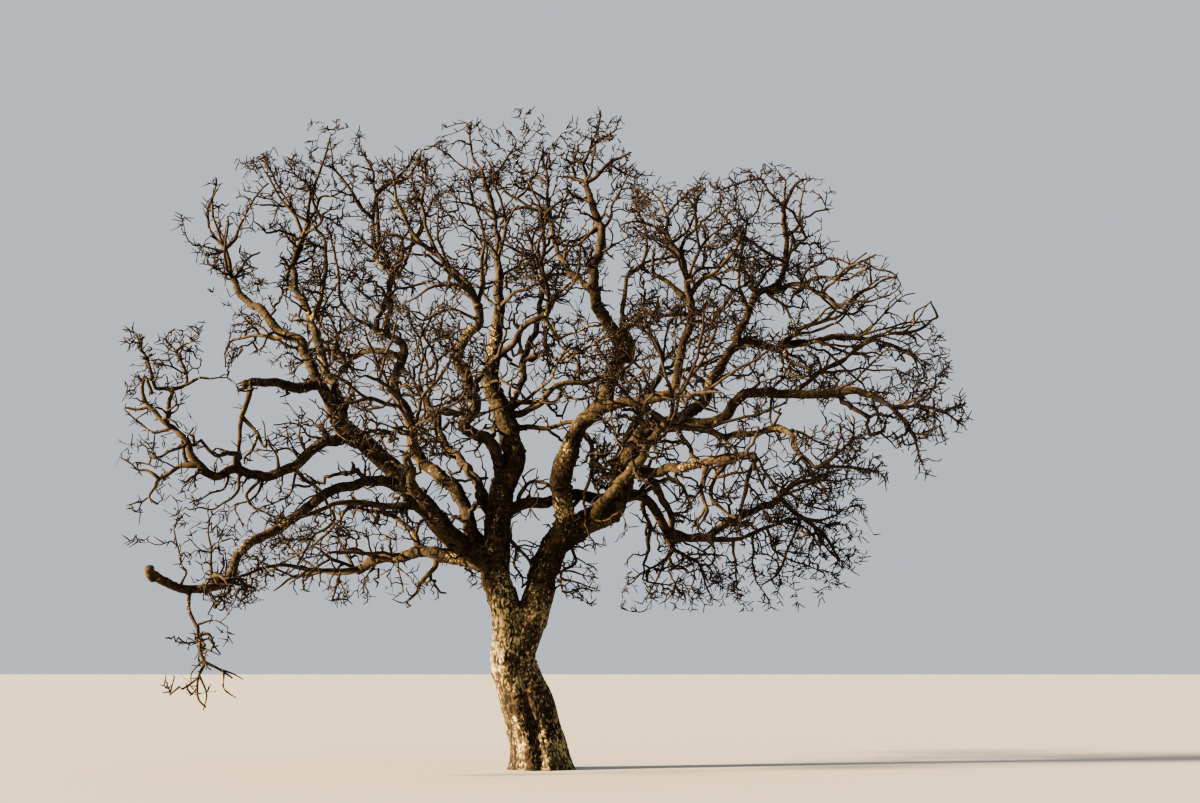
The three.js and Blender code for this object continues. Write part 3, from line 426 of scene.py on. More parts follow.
# Twiglets leave twigs up to a width, leaning forwards and a little upwards.
TWIGLETS = dict(count=20000, length=(60, 165), width=(20, 13), on=45, inside=0.15, lean=(0.2, 1.0), rise=0.15)
PAST_COLLAR = 250  # from where side branches can leave a bough
CELLS_BEYOND = 600  # the outermost places
THIN_END = 0.6  # of a twig, for each width before it
THICKEN = 2.35  # a twig's width to this power is what its twigs' widths to this power add up to
TWIG_ROOT = dict(most=0.75, swell=1.2)  # of its parent's width, and of its own next width
LEAD_TIP = 44  # of the last leading twigs, with all the finer ones that they carry
HEART = np.array([0.0, 0.0, 4300.0])  # of the crown: twigs grow outwards from it
# Tips stand in a mass's space, or this near to a bough or a leading twig.
CROWN = dict(inside=0.9, round_boughs=500, round_twigs=260)
# The crown's rough shape, half its size up and down from its middle. Twigs crowd in its outer part.
SHAPE = dict(middle=(200, 0, 5000), half=(6600, 5000), up=5400, down=2600, crowded=(0.4, 0.85))

# Ovals in the crown as it looks from in front, by their middle (across, up) and half their size. These
# are thinner in the photo, to a share of their twigs.
THIN = [
    ((-5500, 4600), (1500, 1900), 0.6), ((-6200, 6000), (700, 1500), 0.9), ((-2900, 2900), (1900, 800), 0.3),
    ((-3600, 6500), (1400, 1300), 0.6), ((-2200, 6100), (900, 1100), 0.45), ((-5100, 8900), (900, 800), 0.45),
    ((-4300, 7300), (500, 400), 0.5), ((-2000, 7900), (400, 900), 0.3), ((-3300, 9000), (1500, 600), 0.65),
    ((-500, 8700), (1700, 750), 0.5), ((-5200, 1700), (900, 900), 0.5), ((2200, 9700), (800, 500), 0.5),
    ((2500, 6200), (1200, 1100), 0.4), ((3400, 4900), (1300, 600), 0.6), ((5300, 7200), (1100, 1500), 0.4),
    ((4000, 8900), (900, 800), 0.55),
]
# In these, twigs grow as densely inside the crown as outside it.
DENSE = [
    ((650, 6500), (900, 900)), ((950, 4950), (420, 650)), ((-5800, 6500), (900, 600)),
    ((3850, 7500), (500, 450)), ((-3900, 5250), (650, 450)), ((-4500, 4150), (700, 450)),
]
# Through these, the sky shows.
SKY = [
    ((-6100, 2450), (800, 450)), ((-6250, 3080), (380, 380)), ((-5280, 5800), (330, 780)),
    ((-4700, 6280), (340, 230)), ((-4420, 5620), (260, 330)), ((-4550, 8300), (240, 330)),
    ((4050, 5560), (420, 150)), ((4700, 10250), (1100, 700)), ((6300, 9900), (1300, 1000)),
    ((6800, 8300), (1050, 1450)), ((-4600, 10450), (700, 450)), ((-2100, 10500), (430, 480)),
    ((1950, 10450), (600, 520)), ((200, 10450), (230, 270)), ((1620, 10120), (300, 300)),
    ((1120, 3000), (200, 560)), ((-5270, 6850), (180, 480)), ((-6150, 7400), (900, 400)),
    ((5350, 8420), (330, 260)),
]
# The crown's underside: its height at the trunk and out from it, and at the branch that hangs on the left
UNDERSIDE = dict(middle=-300, trunk=3050, out=2450, reach=1100, hanging=1150, hangs_beyond=-4300)
REACH_OVER = 60  # that fine twigs may pass the solids' box

# These masses' leading twigs are left out, because small boughs follow the photo there.
TRACED = ("twigs_far_left", "twigs_left_middle", "twigs_hanging_left", "twigs_low_right")
BROKEN_ENDS = ("broken_left_bough", "broken_right_bough", "broken_low_right_bough")
# The spikes at a broken end, in shares of its width
SPLINTERS = dict(count=9, aside=(0.1, 0.42), beyond=(0.1, 0.85), width=(0.4, 0.09), root=0.7, spread=1.3)

# Limbs stray a little to every side, those near each other alike: (how far, over what distance).
GNARLS = [(72, 480), (34, 185)]
STRAIGHT = dict(to=2300, fades=1500)  # the trunk keeps its line up to here, and strays in full above
BURRED_TIP = 1.35  # how much thicker the bark's skin is at a bough's tip than the limb in it
BURRS = dict(centre_bough=(1350, 520, 0.3))  # how far up a bough, its reach, and how much it swells
UNEVEN = dict(by=0.16, over=90)  # how much a twig's width goes up and down, over what distance

STEM_CELL = 0.0162  # of the bark's skin over the trunk and its stems, in metres
BOUGH_CELL = 0.021  # and over the boughs
# How finely lines are sampled: every so many millimetres, and in how many points
SAMPLED = dict(root=40, place=130, near=200, small=20, skin=45, strand=40.0, pattern=25)
POINTS = dict(curve=201, leading=12, small=26, strand=120, foot=400)
SIDES = dict(leading=5, branch=4, fine=3, small=9, skin=(10, 40), strand=48)  # of the tubes
SIDE_WIDTH = 30  # of a tube in the skin, between its fewest and most sides
# Plates of cork and the furrows between them: sizes in millimetres, the rest as shares of the radius
PLATE = dict(width=26, grows=0.07, between=(30, 52), shape=(1, 1, 2.6), cracks=(0.5, 0.5, 0.9), rough=0.3)
FURROW = dict(sharp=0.2, branches=(0.55, 0.55, 1.3), branching=0.35, depth=(4.0, 15.0), deepens=0.075,
              level=0.4)
LUMP = dict(over=70, grows=1.4, shape=(1, 1, 1.5), high=0.09)
BURR = dict(over=50, rare=0.45, high=0.6, widest=110)
FROM_GROUND = 60  # to where the relief fades at the flat cut
LIMBS_APART = 7000  # in the run of the bark's pattern from limb to limb
SEEDS = dict(noise=11, twigs=2024)
TABLE = np.random.default_rng(SEEDS["noise"]).uniform(-1, 1, 4096)  # the noise's random values
FIELDS = dict(furrow=1, branching=2, lump=3, burr=4, plate=5, gnarls=20, twigs=31)  # of the noise
FIELD_SHIFT = 40  # of the gnarls' fields, off the others' corners


def unit(vectors):
    return vectors / np.maximum(np.linalg.norm(vectors, axis=-1, keepdims=True), 1e-12)


def in_place(bend, back):
    """The point in space that looks to be at a bend, and is so far back."""
    point = np.array([bend[0], 0.0, bend[1]])
    return (point - EYE) * (1 - back / EYE[1]) + EYE


def as_seen(points):
    """Where points look from in front, on the upright plane through the trunk."""
    return (points - EYE) * (-EYE[1] / (points[..., 1:2] - EYE[1])) + EYE


def chance_from(seed):
    """Repeatable chance: the same seed always gives the same run of numbers from 0 to 1."""
    state = seed % 2147483647
    while True:
        state = state * 48271 % 2147483647
        yield state / 2147483647


def smooth_curve(bends):
    """A smooth curve through the bends, as a function of 0 to 1."""
    bends = np.array(bends)
    last = len(bends) - 1
    ends = np.vstack([2 * bends[0] - bends[1], bends, 2 * bends[-1] - bends[-2]])

    def at(parts):
        places = np.asarray(parts) * last
        i = np.minimum(places.astype(int), last - 1)
        w = (places - i)[:, None]
        a, b, c, d = (ends[i + k] for k in range(4))
        out, into = (c - a) / 2, (d - b) / 2
        return (2 * b - 2 * c + out + into) * w**3 + (3 * c - 3 * b - 2 * out - into) * w**2 + out * w + b

    return at


def spaced(curve, step):
    """Points on a curve about a step apart, how far along each one is, and the curve's length."""
    grid = np.linspace(0, 1, POINTS["curve"])
    way = np.linalg.norm(np.diff(curve(grid), axis=0), axis=1)
    way = np.concatenate([[0], np.cumsum(way)])
    along = np.linspace(0, 1, math.ceil(way[-1] / step) + 1)
    return curve(np.interp(along * way[-1], way, grid)), along, way[-1]


def between(at, along, points):
    """Points at some places of a line, from its points and how far along each one is."""
    return np.array([np.interp(at, along, points[:, axis]) for axis in range(3)]).T


def limb_widths(bough, along, length):
    """Widths along the solid limb, which swells at its root."""
    swell = bough.get("swell", COLLAR["swell"])
    first, last = bough["width"]
    return (first + (last - first) * along) * (1 + swell * np.exp(-along * length / COLLAR["reach"]))


def bark_widths(bough, along, length):
    """Widths over the bark, which stays thick and burred to the tips of the boughs that carry twigs."""
    burred = 1 if bough["name"] in ("small_bough", *BROKEN_ENDS) else BURRED_TIP
    at, reach, swell = BURRS.get(bough["name"], (0, 1, 0))
    swollen = 1 + swell * np.exp(-((along * length - at) / reach) ** 2)
    return limb_widths(bough, along, length) * (1 + (burred - 1) * along) * swollen


def limb_line(bough, root):
    """A limb's curve, and its points and widths at the rings of the solid."""
    last = len(bough["way"]) - 1
    bends = [root]
    for i, bend in enumerate(bough["way"][1:], 1):
        along = i / last
        bow = 4 * bough.get("bow", 0) * along * (1 - along)
        bends.append(in_place(bend, root[1] + (bough["back"] - root[1]) * along + bow))
    curve = smooth_curve(bends)
    points, along, length = spaced(curve, STEP)
    return dict(curve=curve, points=points, widths=limb_widths(bough, along, length), bough=bough)


def strand_line(strand):
    """A strand's points, each at its ring's own height, and its widths."""
    points = np.array([in_place(ring, strand["back"]) for ring in strand["rings"]])
    points[:, 2] = [ring[1] for ring in strand["rings"]]
    return dict(points=points, widths=np.array([ring[2] for ring in strand["rings"]]))


def root_on(parent, bend):
    """Where a limb leaves its parent: the parent's point that looks nearest to the first bend."""
    starts, ends = parent["points"][:-1], parent["points"][1:]
    parts = range(ROOT_PLACES)
    places = np.vstack([a + (b - a) * k / ROOT_PLACES for a, b in zip(starts, ends) for k in parts])
    apart = np.linalg.norm(as_seen(places) - in_place(bend, 0), axis=1)
    return places[np.argmin(apart)]


def root_near(lines, bend, back):
    """The point of any limb that looks nearest to a bend, and is about that far back."""
    points = np.vstack([spaced(line["curve"], SAMPLED["root"])[0] for line in lines])
    apart = np.linalg.norm(as_seen(points) - in_place(bend, 0), axis=1)
    return points[np.argmin(apart + np.abs(points[:, 1] - back) * ROOT_DEPTH)]


def lay_out_limbs():
    """The trunk's strands and the boughs by name, and the lines of the boughs and of the small boughs."""
    limbs = {strand["name"]: strand_line(strand) for strand in STRANDS}
    for bough in BOUGHS:
        limbs[bough["name"]] = limb_line(bough, root_on(limbs[bough["parent"]], bough["way"][0]))
    lines = [limbs[bough["name"]] for bough in BOUGHS]
    for back, width, way in SMALL_BOUGHS:
        small = new_bough("small_bough", None, back, width, way)
        lines.append(limb_line(small, root_near(lines, way[0], back)))
    return limbs, lines, lines[len(BOUGHS):]


# The leading twigs, by the rule that made the solids

def gap_between(a, b, starts, ends):
    """How near the straight piece from a to b comes to each of many others."""
    u, v, w = b - a, ends - starts, a - starts
    uu, uv, vv = u @ u, v @ u, (v * v).sum(1)
    uw, vw = w @ u, (v * w).sum(1)
    even = uu * vv - uv * uv
    s = np.where(even > 1e-9, np.clip((uv * vw - vv * uw) / np.maximum(even, 1e-9), 0, 1), 0)
    t = np.clip((uv * s + vw) / vv, 0, 1)
    s = np.clip((uv * t - uw) / uu, 0, 1)
    return np.linalg.norm(w + s[:, None] * u - t[:, None] * v, axis=1)


class Stretches:
    """The straight pieces of every limb and twig so far, each with its larger width."""

    def __init__(self):
        self.starts, self.ends, self.widths = np.empty((0, 3)), np.empty((0, 3)), np.empty(0)

    def add(self, points, widths):
        self.starts = np.vstack([self.starts, points[:-1]])
        self.ends = np.vstack([self.ends, points[1:]])
        self.widths = np.append(self.widths, np.maximum(widths[:-1], widths[1:]))


def far_out(space, points):
    """How far out in a mass's space points lie: 0 at the middle, 1 at the edge."""
    return np.linalg.norm((points - space["middle"]) / space["room"], axis=-1)


def in_others_space(point, space, spaces):
    """Whether a point lies further inside another mass's space than in its own."""
    own = min(1, far_out(space, point))
    return any(other is not space and far_out(other, point) < own for other in spaces)


def tips_of(space, stem, chance):
    """The tips that a mass has to reach, then the ones spread through its space, nearest first."""
    given = [in_place(tip, space["back"]) for tip in space["tips"]]
    if not given:
        given.append(stem + (space["middle"] - stem) * FIRST_TWIG)
    spread = []
    low, high = GROWTH["shell"]
    for i in range(space["twigs"]):
        up = 1 - (2 * i + 1) / space["twigs"]
        turn = i * GROWTH["evenly"]
        level = math.sqrt(1 - up * up)
        out = low + (high - low) * next(chance)
        offset = np.array([level * math.cos(turn), level * math.sin(turn), up])
        spread.append(space["middle"] + offset * space["room"] * out)
    return given + sorted(spread, key=lambda tip: np.linalg.norm(tip - stem))


def bent_way(start, heading, tip, steps, crook):
    """A bent way from start to a tip, first carrying on in a heading. crook() moves its bends."""
    distance = np.linalg.norm(tip - start)
    control = (start + tip) / 2 + heading * GROWTH["carry_on"] * distance / 2
    points = [start]
    for i in range(1, steps + 1):
        t = i / steps
        point = start * (1 - t) ** 2 + control * 2 * t * (1 - t) + tip * t * t
        if i < steps:
            point = point + crook() * distance
        points.append(point)
    return np.array(points)


def best_start(tip, points, headings, ways=0):
    """The number of the place from which the way to a tip is shortest and straightest, and how far it is."""
    aim = tip - points
    distance = np.linalg.norm(aim, axis=1)
    turn = 1 - (aim * headings).sum(1) / np.maximum(distance, 1)
    start = int(np.argmin(distance * (1 + GROWTH["turn"] * turn) + GROWTH["detour"] * ways))
    return start, distance[start]


def grow_leading(space, stem, heading, spaces, limbs, own, chance):
    """Joins each tip of a mass in turn, unless its way would run into a limb or another mass."""
    places = dict(point=[stem], heading=[heading], way=[0.0], before=[-1], tips=[0])
    twigs = []

    def crook():
        return 2 * GROWTH["crook"] * np.array([next(chance) - 0.5 for _ in range(3)])

    for tip in tips_of(space, stem, chance):
        start, far = best_start(tip, *(np.array(places[what]) for what in ("point", "heading", "way")))
        steps = math.ceil(far / GROWTH["step"])
        points = bent_way(places["point"][start], places["heading"][start], tip, steps, crook)
        if any(in_others_space(point, space, spaces) for point in points[1:]):
            continue
        near = [gap_between(a, b, limbs.starts, limbs.ends) < MASS_GAP * 2 + limbs.widths / 2
                for a, b in zip(points, points[1:])]
        if start == 0:
            near[0][own] = False
        if np.any(near):
            continue
        twig = [start]
        for a, b in zip(points, points[1:]):
            before = twig[-1]
            twig.append(len(places["point"]))
            way = places["way"][before] + np.linalg.norm(b - a)
            for what, value in dict(point=b, before=before, way=way, heading=unit(b - a), tips=0).items():
                places[what].append(value)
        twigs.append(twig)
        place = twig[-1]
        while place >= 0:
            places["tips"][place] += 1
            place = places["before"][place]
    return places, twigs


def grow_masses(limbs):
    """The leading twigs of every mass, as (points, widths), and the masses' spaces."""
    taken = Stretches()
    for strand in STRANDS:
        taken.add(limbs[strand["name"]]["points"], limbs[strand["name"]]["widths"] * TRUNK_DEPTH)
    last_piece = {}
    for bough in BOUGHS:
        taken.add(limbs[bough["name"]]["points"], limbs[bough["name"]]["widths"])
        last_piece[bough["name"]] = len(taken.widths) - 1
    spaces = [dict(mass, middle=in_place(mass["heart"], mass["back"])) for mass in MASSES]
    leading = []
    for i, space in enumerate(spaces, 1):
        limb = limbs[space["bough"]]
        heading = unit(limb["points"][-1] - limb["points"][-2])
        stem = limb["points"][-1] - heading * STEM_START
        places, twigs = grow_leading(space, stem, heading, spaces, taken, last_piece[space["bough"]],
                                     chance_from(GROWTH["seed"] * i))
        power, lead_power = (math.log(limb["widths"][-1] * burred / tip) / math.log(len(twigs))
                             for tip, burred in ((TIP_WIDTH, 1), (LEAD_TIP, BURRED_TIP)))
        for twig in twigs:
            counts = np.array([places["tips"][place] for place in twig], dtype=float)
            counts[0] = counts[1]
            points = np.array(places["point"])[twig]
            taken.add(points, TIP_WIDTH * counts**power)
            widths = LEAD_TIP * counts**lead_power
            widths[-1] *= THIN_END
            if space["name"] not in TRACED:
                leading.append((points, widths))
    return leading, spaces


# The finer twigs

class Places:
    """Where twigs can leave: points with a heading and a width, and what each one grew from."""

    def __init__(self, room=200000):
        self.rows = np.empty((room, 7))
        self.before = np.empty(room, dtype=int)
        self.count = 0

    @property
    def point(self):
        return self.rows[:self.count, :3]

    @property
    def heading(self):
        return self.rows[:self.count, 3:6]

    @property
    def width(self):
        return self.rows[:self.count, 6]

    def add(self, points, widths, before):
        """Adds a line of places that goes on from the place before, and returns their numbers."""
        line = np.arange(self.count, self.count + len(points))
        from_point = points[0] * 2 - points[1] if before < 0 else self.rows[before, :3]
        self.rows[line, :3] = points
        self.rows[line, 3:6] = unit(np.diff(np.vstack([from_point, points]), axis=0))
        self.rows[line, 6] = widths
        self.before[line] = np.append(before, line[:-1])
        self.count += len(points)
        return line


def places_on_lines(lines, leading):
    """Places along the boughs, past their collars and over the underside, and along the leading twigs."""
    places = Places()
    for line in lines:
        points, along, length = spaced(line["curve"], SAMPLED["place"])
        keep = (along * length > PAST_COLLAR) & (points[:, 2] > underside(points))
        if keep.sum() > 1:
            places.add(points[keep], bark_widths(line["bough"], along, length)[keep], -1)
    for points, widths in leading:
        places.add(points[1:], widths[1:], -1)
    return places


def underside(points):
    """How high the crown's underside is over or under points."""
    out = np.hypot(points[..., 0] - UNDERSIDE["middle"], points[..., 1]) / UNDERSIDE["reach"]
    high = UNDERSIDE["trunk"] + (UNDERSIDE["out"] - UNDERSIDE["trunk"]) * np.clip(out, 0, 1)
    return np.where(points[..., 0] < UNDERSIDE["hangs_beyond"], UNDERSIDE["hanging"], high)


def in_oval(seen, middle, half):
    """How far out in an oval points look to be, squared: 0 at its middle, 1 at its edge."""
    return ((seen[..., 0] - middle[0]) / half[0]) ** 2 + ((seen[..., 2] - middle[1]) / half[1]) ** 2


def is_open(points):
    """True where the photo shows sky through the crown, or under it."""
    seen = as_seen(points)
    hidden = points[..., 2] < underside(points)
    for middle, half in SKY:
        hidden |= in_oval(seen, middle, half) < 1
    return hidden


def within_reach(points):
    """True where points, once they are gnarled, keep to the solids' box."""
    points = gnarled(points)
    low, high = np.array(cad_box[0]) / MM - REACH_OVER, np.array(cad_box[1]) / MM + REACH_OVER
    return np.all((points > low) & (points < high), axis=-1)


def crowd(points):
    """How much twigs crowd: 0 in the crown's bare inside, 1 in its outer part."""
    offset = points - np.array(SHAPE["middle"])
    high = np.where(offset[:, 2] > 0, SHAPE["up"], SHAPE["down"])
    out = np.sqrt((offset[:, 0] / SHAPE["half"][0]) ** 2 + (offset[:, 1] / SHAPE["half"][1]) ** 2
                  + (offset[:, 2] / high) ** 2)
    low, full = SHAPE["crowded"]
    return np.clip((out - low) / (full - low), 0, 1)


def share_grown(points, inside):
    """What share of the twigs at points grows: less inside the crown, and where the photo's is thin."""
    share = inside + (1 - inside) * crowd(points)
    seen = as_seen(points)
    for middle, half in DENSE:
        share = np.maximum(share, np.clip(2 - 2 * in_oval(seen, middle, half), 0, 1))
    for middle, half, thin in THIN:
        share *= 1 - (1 - thin) * np.clip(2 - 2 * in_oval(seen, middle, half), 0, 1)
    return share


def in_crown(points, spaces, bough_tree, twig_tree):
    """True inside the space of some mass or near a limb, and within reach of the solids."""
    inside = nearest(bough_tree, points) < CROWN["round_boughs"]
    inside |= nearest(twig_tree, points) < CROWN["round_twigs"]
    for space in spaces:
        inside |= far_out(space, points) < CROWN["inside"]
    return inside & within_reach(points)


def nearest(tree, points):
    """How far each point is from the nearest one in a tree of points."""
    return np.array([tree.find(point)[2] for point in points])


def point_tree(points):
    tree = KDTree(len(points))
    for i, point in enumerate(points):
        tree.insert(point, i)
    tree.balance()
    return tree


def tips_by_cell(kind, places, spaces, bough_tree, twig_tree, draw):
    """One tip at a random point of each cell that is near enough to a twig, from the crown's heart out."""
    low, high = places.point.min(0) - CELLS_BEYOND, places.point.max(0) + CELLS_BEYOND
    sides = [np.arange(a, b, kind["cell"]) for a, b in zip(low, high)]
    tips = np.stack(np.meshgrid(*sides, indexing="ij"), axis=-1).reshape(-1, 3)
    tips = tips + draw.uniform(0, kind["cell"], tips.shape)
    tips = tips[draw.uniform(size=len(tips)) < share_grown(tips, kind["inside"])]
    near = nearest(point_tree(places.point), tips)
    tips = tips[(near > kind["near"][0]) & (near < kind["near"][1])]
    tips = tips[~is_open(tips) & in_crown(tips, spaces, bough_tree, twig_tree)]
    return tips[np.argsort(np.linalg.norm(tips - HEART, axis=1))]


def join_tips(tips, places, kind, draw):
    """Joins every tip to the twigs so far by the same rule, and adds what has grown to the places."""
    lines = []
    for tip in tips:
        start, far = best_start(tip, places.point, places.heading)
        if far < kind["near"][0] * TOO_NEAR:
            continue
        points = bent_way(places.point[start], places.heading[start], tip, kind["bends"],
                          lambda: kind["crook"] * draw.normal(size=3) * STRAY)
        line = places.add(points[1:], kind["tip"], start)
        lines.append(np.append(start, line))
    return lines


def pipe_widths(places, grown):
    """Thickens each finer twig towards its root by the tips that it carries, and returns the tubes."""
    carried = np.zeros(places.count)
    for lines, kind in reversed(grown):
        for line in reversed(lines):
            carried[line[-1]] += kind["tip"] ** THICKEN
            for place in line[:0:-1]:
                carried[places.before[place]] += carried[place]
    made = []
    for lines, kind in grown:
        widths = []
        for line in lines:
            most = places.width[line[0]] * TWIG_ROOT["most"]
            places.width[line[1:]] = np.minimum(carried[line[1:]] ** (1 / THICKEN), most)
            root = min(places.width[line[1]] * TWIG_ROOT["swell"], most)
            widths.append(np.append(root, places.width[line[1:]]))
            widths[-1][-1] *= THIN_END
        made.append((places.point[np.array(lines)], np.array(widths)))
    return made


def grow_twiglets(places, draw):
    """Short spurs that stand off the finer twigs to every side, most of them in the outer crown."""
    thin = np.flatnonzero(places.width < TWIGLETS["on"])
    share = share_grown(places.point[thin], TWIGLETS["inside"])
    count = TWIGLETS["count"]
    which = draw.choice(thin, count, p=share / share.sum())
    heading = places.heading[which]
    side = unit(np.cross(heading, unit(draw.normal(size=(count, 3)))))
    lean = draw.uniform(*TWIGLETS["lean"], count)[:, None]
    aim = unit(side + heading * lean + [0, 0, TWIGLETS["rise"]])
    length = draw.uniform(*TWIGLETS["length"], count)[:, None]
    start = places.point[which]
    points = np.stack([start, start + aim * length], axis=1)
    points = points[~is_open(points[:, 1]) & within_reach(points[:, 1])]
    return points, np.tile(TWIGLETS["width"], (len(points), 1))


# Meshes

def tube_faces(count, rings, sides):
    """Corner numbers of the side faces and the two end faces of many closed tubes."""
    ring = np.arange(sides)
    start = (np.arange(count)[:, None, None] * rings + np.arange(rings - 1)[None, :, None]) * sides
    a, b = start + ring, start + (ring + 1) % sides
    quads = np.stack([a, b, b + sides, a + sides], axis=-1).reshape(-1, 4)
    base = np.arange(count)[:, None] * rings * sides
    ends = np.vstack([base + ring[::-1], base + (rings - 1) * sides + ring])
    return quads, ends


def tube_rings(paths, widths, sides):
    """The rings of closed tubes along many lines of equally many points."""
    ahead = unit(np.gradient(paths, axis=1))
    across = np.where(np.abs(ahead[:, 0, 2:]) < 0.9, [0.0, 0.0, 1.0], [1.0, 0.0, 0.0])
    turn = (np.arange(sides) * 2 * math.pi / sides)[None, :, None]
    rings = []
    for i in range(paths.shape[1]):
        across = unit(across - ahead[:, i] * (across * ahead[:, i]).sum(1)[:, None])
        beside = np.cross(ahead[:, i], across)
        round_it = np.cos(turn) * across[:, None] + np.sin(turn) * beside[:, None]
        rings.append(paths[:, i, None] + round_it * widths[:, i, None, None] / 2)
    return np.stack(rings, axis=1)


def mesh_piece(name, corners, faces):
    """A smooth-shaded object from corners in metres and arrays of faces, each of equal corner counts."""
    mesh = bpy.data.meshes.new(name)
    mesh.vertices.add(len(corners))
    mesh.vertices.foreach_set("co", corners.astype(np.float32).ravel())
    sizes = np.concatenate([np.full(len(part), part.shape[1]) for part in faces])
    mesh.loops.add(int(sizes.sum()))
    mesh.loops.foreach_set("vertex_index", np.concatenate([part.ravel() for part in faces]).astype(np.int32))
    mesh.polygons.add(len(sizes))
    mesh.polygons.foreach_set("loop_start", np.concatenate([[0], np.cumsum(sizes)[:-1]]).astype(np.int32))
    mesh.polygons.foreach_set("use_smooth", np.ones(len(sizes), dtype=bool))
    mesh.update(calc_edges=True)
    piece = bpy.data.objects.new(name, mesh)
    bpy.context.scene.collection.objects.link(piece)
    return piece


def tube_piece(name, groups):
    """One piece from groups of tubes, each given by its rings, in millimetres."""
    corners, sides_of_tubes, ends = [], [], {}
    total = 0
    for rings in groups:
        side_faces, end_faces = tube_faces(*rings.shape[:3])
        corners.append(rings.reshape(-1, 3))
        sides_of_tubes.append(side_faces + total)
        ends.setdefault(rings.shape[2], []).append(end_faces + total)
        total += len(corners[-1])
    faces = [np.vstack(sides_of_tubes)] + [np.vstack(parts) for parts in ends.values()]
    return mesh_piece(name, np.vstack(corners) * MM, faces)


def twig_piece(name, paths, widths, sides, material):
    """One piece of all the twigs of a kind, gnarled and a little uneven in width."""
    widths = widths * (1 + UNEVEN["by"] * noise(paths / UNEVEN["over"], FIELDS["twigs"]))
    piece = tube_piece(name, [tube_rings(gnarled(paths), widths, sides)])
    piece.data.materials.append(material)
    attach(piece, "root")
    return piece


def resample(points, widths, count):
    """The same line with so many points, smoothed round its bends."""
    if len(points) == 2:
        points = np.array([points[0], points.mean(0), points[1]])
        widths = np.array([widths[0], widths.mean(), widths[1]])
    at = np.linspace(0, 1, count)
    return smooth_curve(points)(at), np.interp(at * (len(points) - 1), np.arange(len(points)), widths)


def resample_curve(line, count):
    """A limb's line with so many points, and its widths over the bark."""
    points, along, length = spaced(line["curve"], SAMPLED["small"])
    at = np.linspace(0, 1, count)
    return between(at, along, points), bark_widths(line["bough"], at, length)


# The bark's skin over the trunk and boughs

def noise(points, seed=0):
    """Smooth random values from -1 to 1 with one bump in each unit of space."""
    cell = np.floor(points).astype(np.int64)
    part = points - cell
    part = part * part * (3 - 2 * part)
    total = np.zeros(points.shape[:-1])
    for corner in np.ndindex(2, 2, 2):
        key = (cell + corner) * np.array([73856093, 19349663, 83492791])
        value = TABLE[(key[..., 0] ^ key[..., 1] ^ key[..., 2] ^ (seed * 2654435761)) & 4095]
        total += value * np.prod(np.where(corner, part, 1 - part), axis=-1)
    return total


def gnarled(points):
    """Points shifted by a smooth random field, so that whatever grows there is crooked alike."""
    shift = np.zeros(points.shape)
    for number, (far, over) in enumerate(GNARLS):
        for axis in range(3):
            shift[..., axis] += far * noise(points / over + FIELD_SHIFT, FIELDS["gnarls"] + number * 3 + axis)
    return points + shift * np.clip((points[..., 2:] - STRAIGHT["to"]) / STRAIGHT["fades"], 0, 1)


def limb_rings(limb):
    """A finely stepped tube along a limb: its rings, in millimetres."""
    points, along, length = spaced(limb["curve"], SAMPLED["skin"])
    widths = bark_widths(limb["bough"], along, length)
    sides = int(np.clip(widths[0] * math.pi / SIDE_WIDTH, *SIDES["skin"]))
    return tube_rings(gnarled(points)[None], widths[None], sides)


def strand_rings(strand):
    """A strand of the trunk with its flared foot: its rings, in millimetres."""
    line = strand_line(strand)
    last = len(line["points"]) - 1
    curve = smooth_curve(line["points"])
    grid = np.linspace(0, 1, POINTS["foot"])
    heights = np.arange(0, line["points"][-1, 2] + 1, SAMPLED["strand"])
    along = np.interp(heights, curve(grid)[:, 2], grid)
    points = curve(along)
    widths = np.interp(along * last, np.arange(last + 1), line["widths"])
    turn = np.arange(SIDES["strand"]) * 2 * math.pi / SIDES["strand"]
    foot = np.exp(-heights / FLARE["reach"])[:, None]
    flared = FLARE["swell"] + FLARE["ridge"] * np.cos(FLARE["roots"] * turn)
    reach = widths[:, None] / 2 * (1 + foot * flared)
    deep = (TRUNK_DEPTH + (1 - TRUNK_DEPTH) * along)[:, None]
    rings = np.stack([points[:, :1] + np.sin(turn) * reach, points[:, 1:2] - np.cos(turn) * reach * deep,
                      np.broadcast_to(heights[:, None], reach.shape)], axis=-1)
    return rings[None]


def fused(name, tubes, cell):
    """One skin over many overlapping tubes."""
    piece = tube_piece(name, tubes)
    skin = piece.modifiers.new("skin", "REMESH")
    skin.mode = "VOXEL"
    skin.voxel_size = cell
    soft = piece.modifiers.new("soft", "SMOOTH")
    soft.factor = 0.5
    soft.iterations = 3
    ready = piece.evaluated_get(bpy.context.evaluated_depsgraph_get())
    mesh = bpy.data.meshes.new_from_object(ready)
    piece.modifiers.clear()
    old = piece.data
    piece.data = mesh
    bpy.data.meshes.remove(old)
    return piece


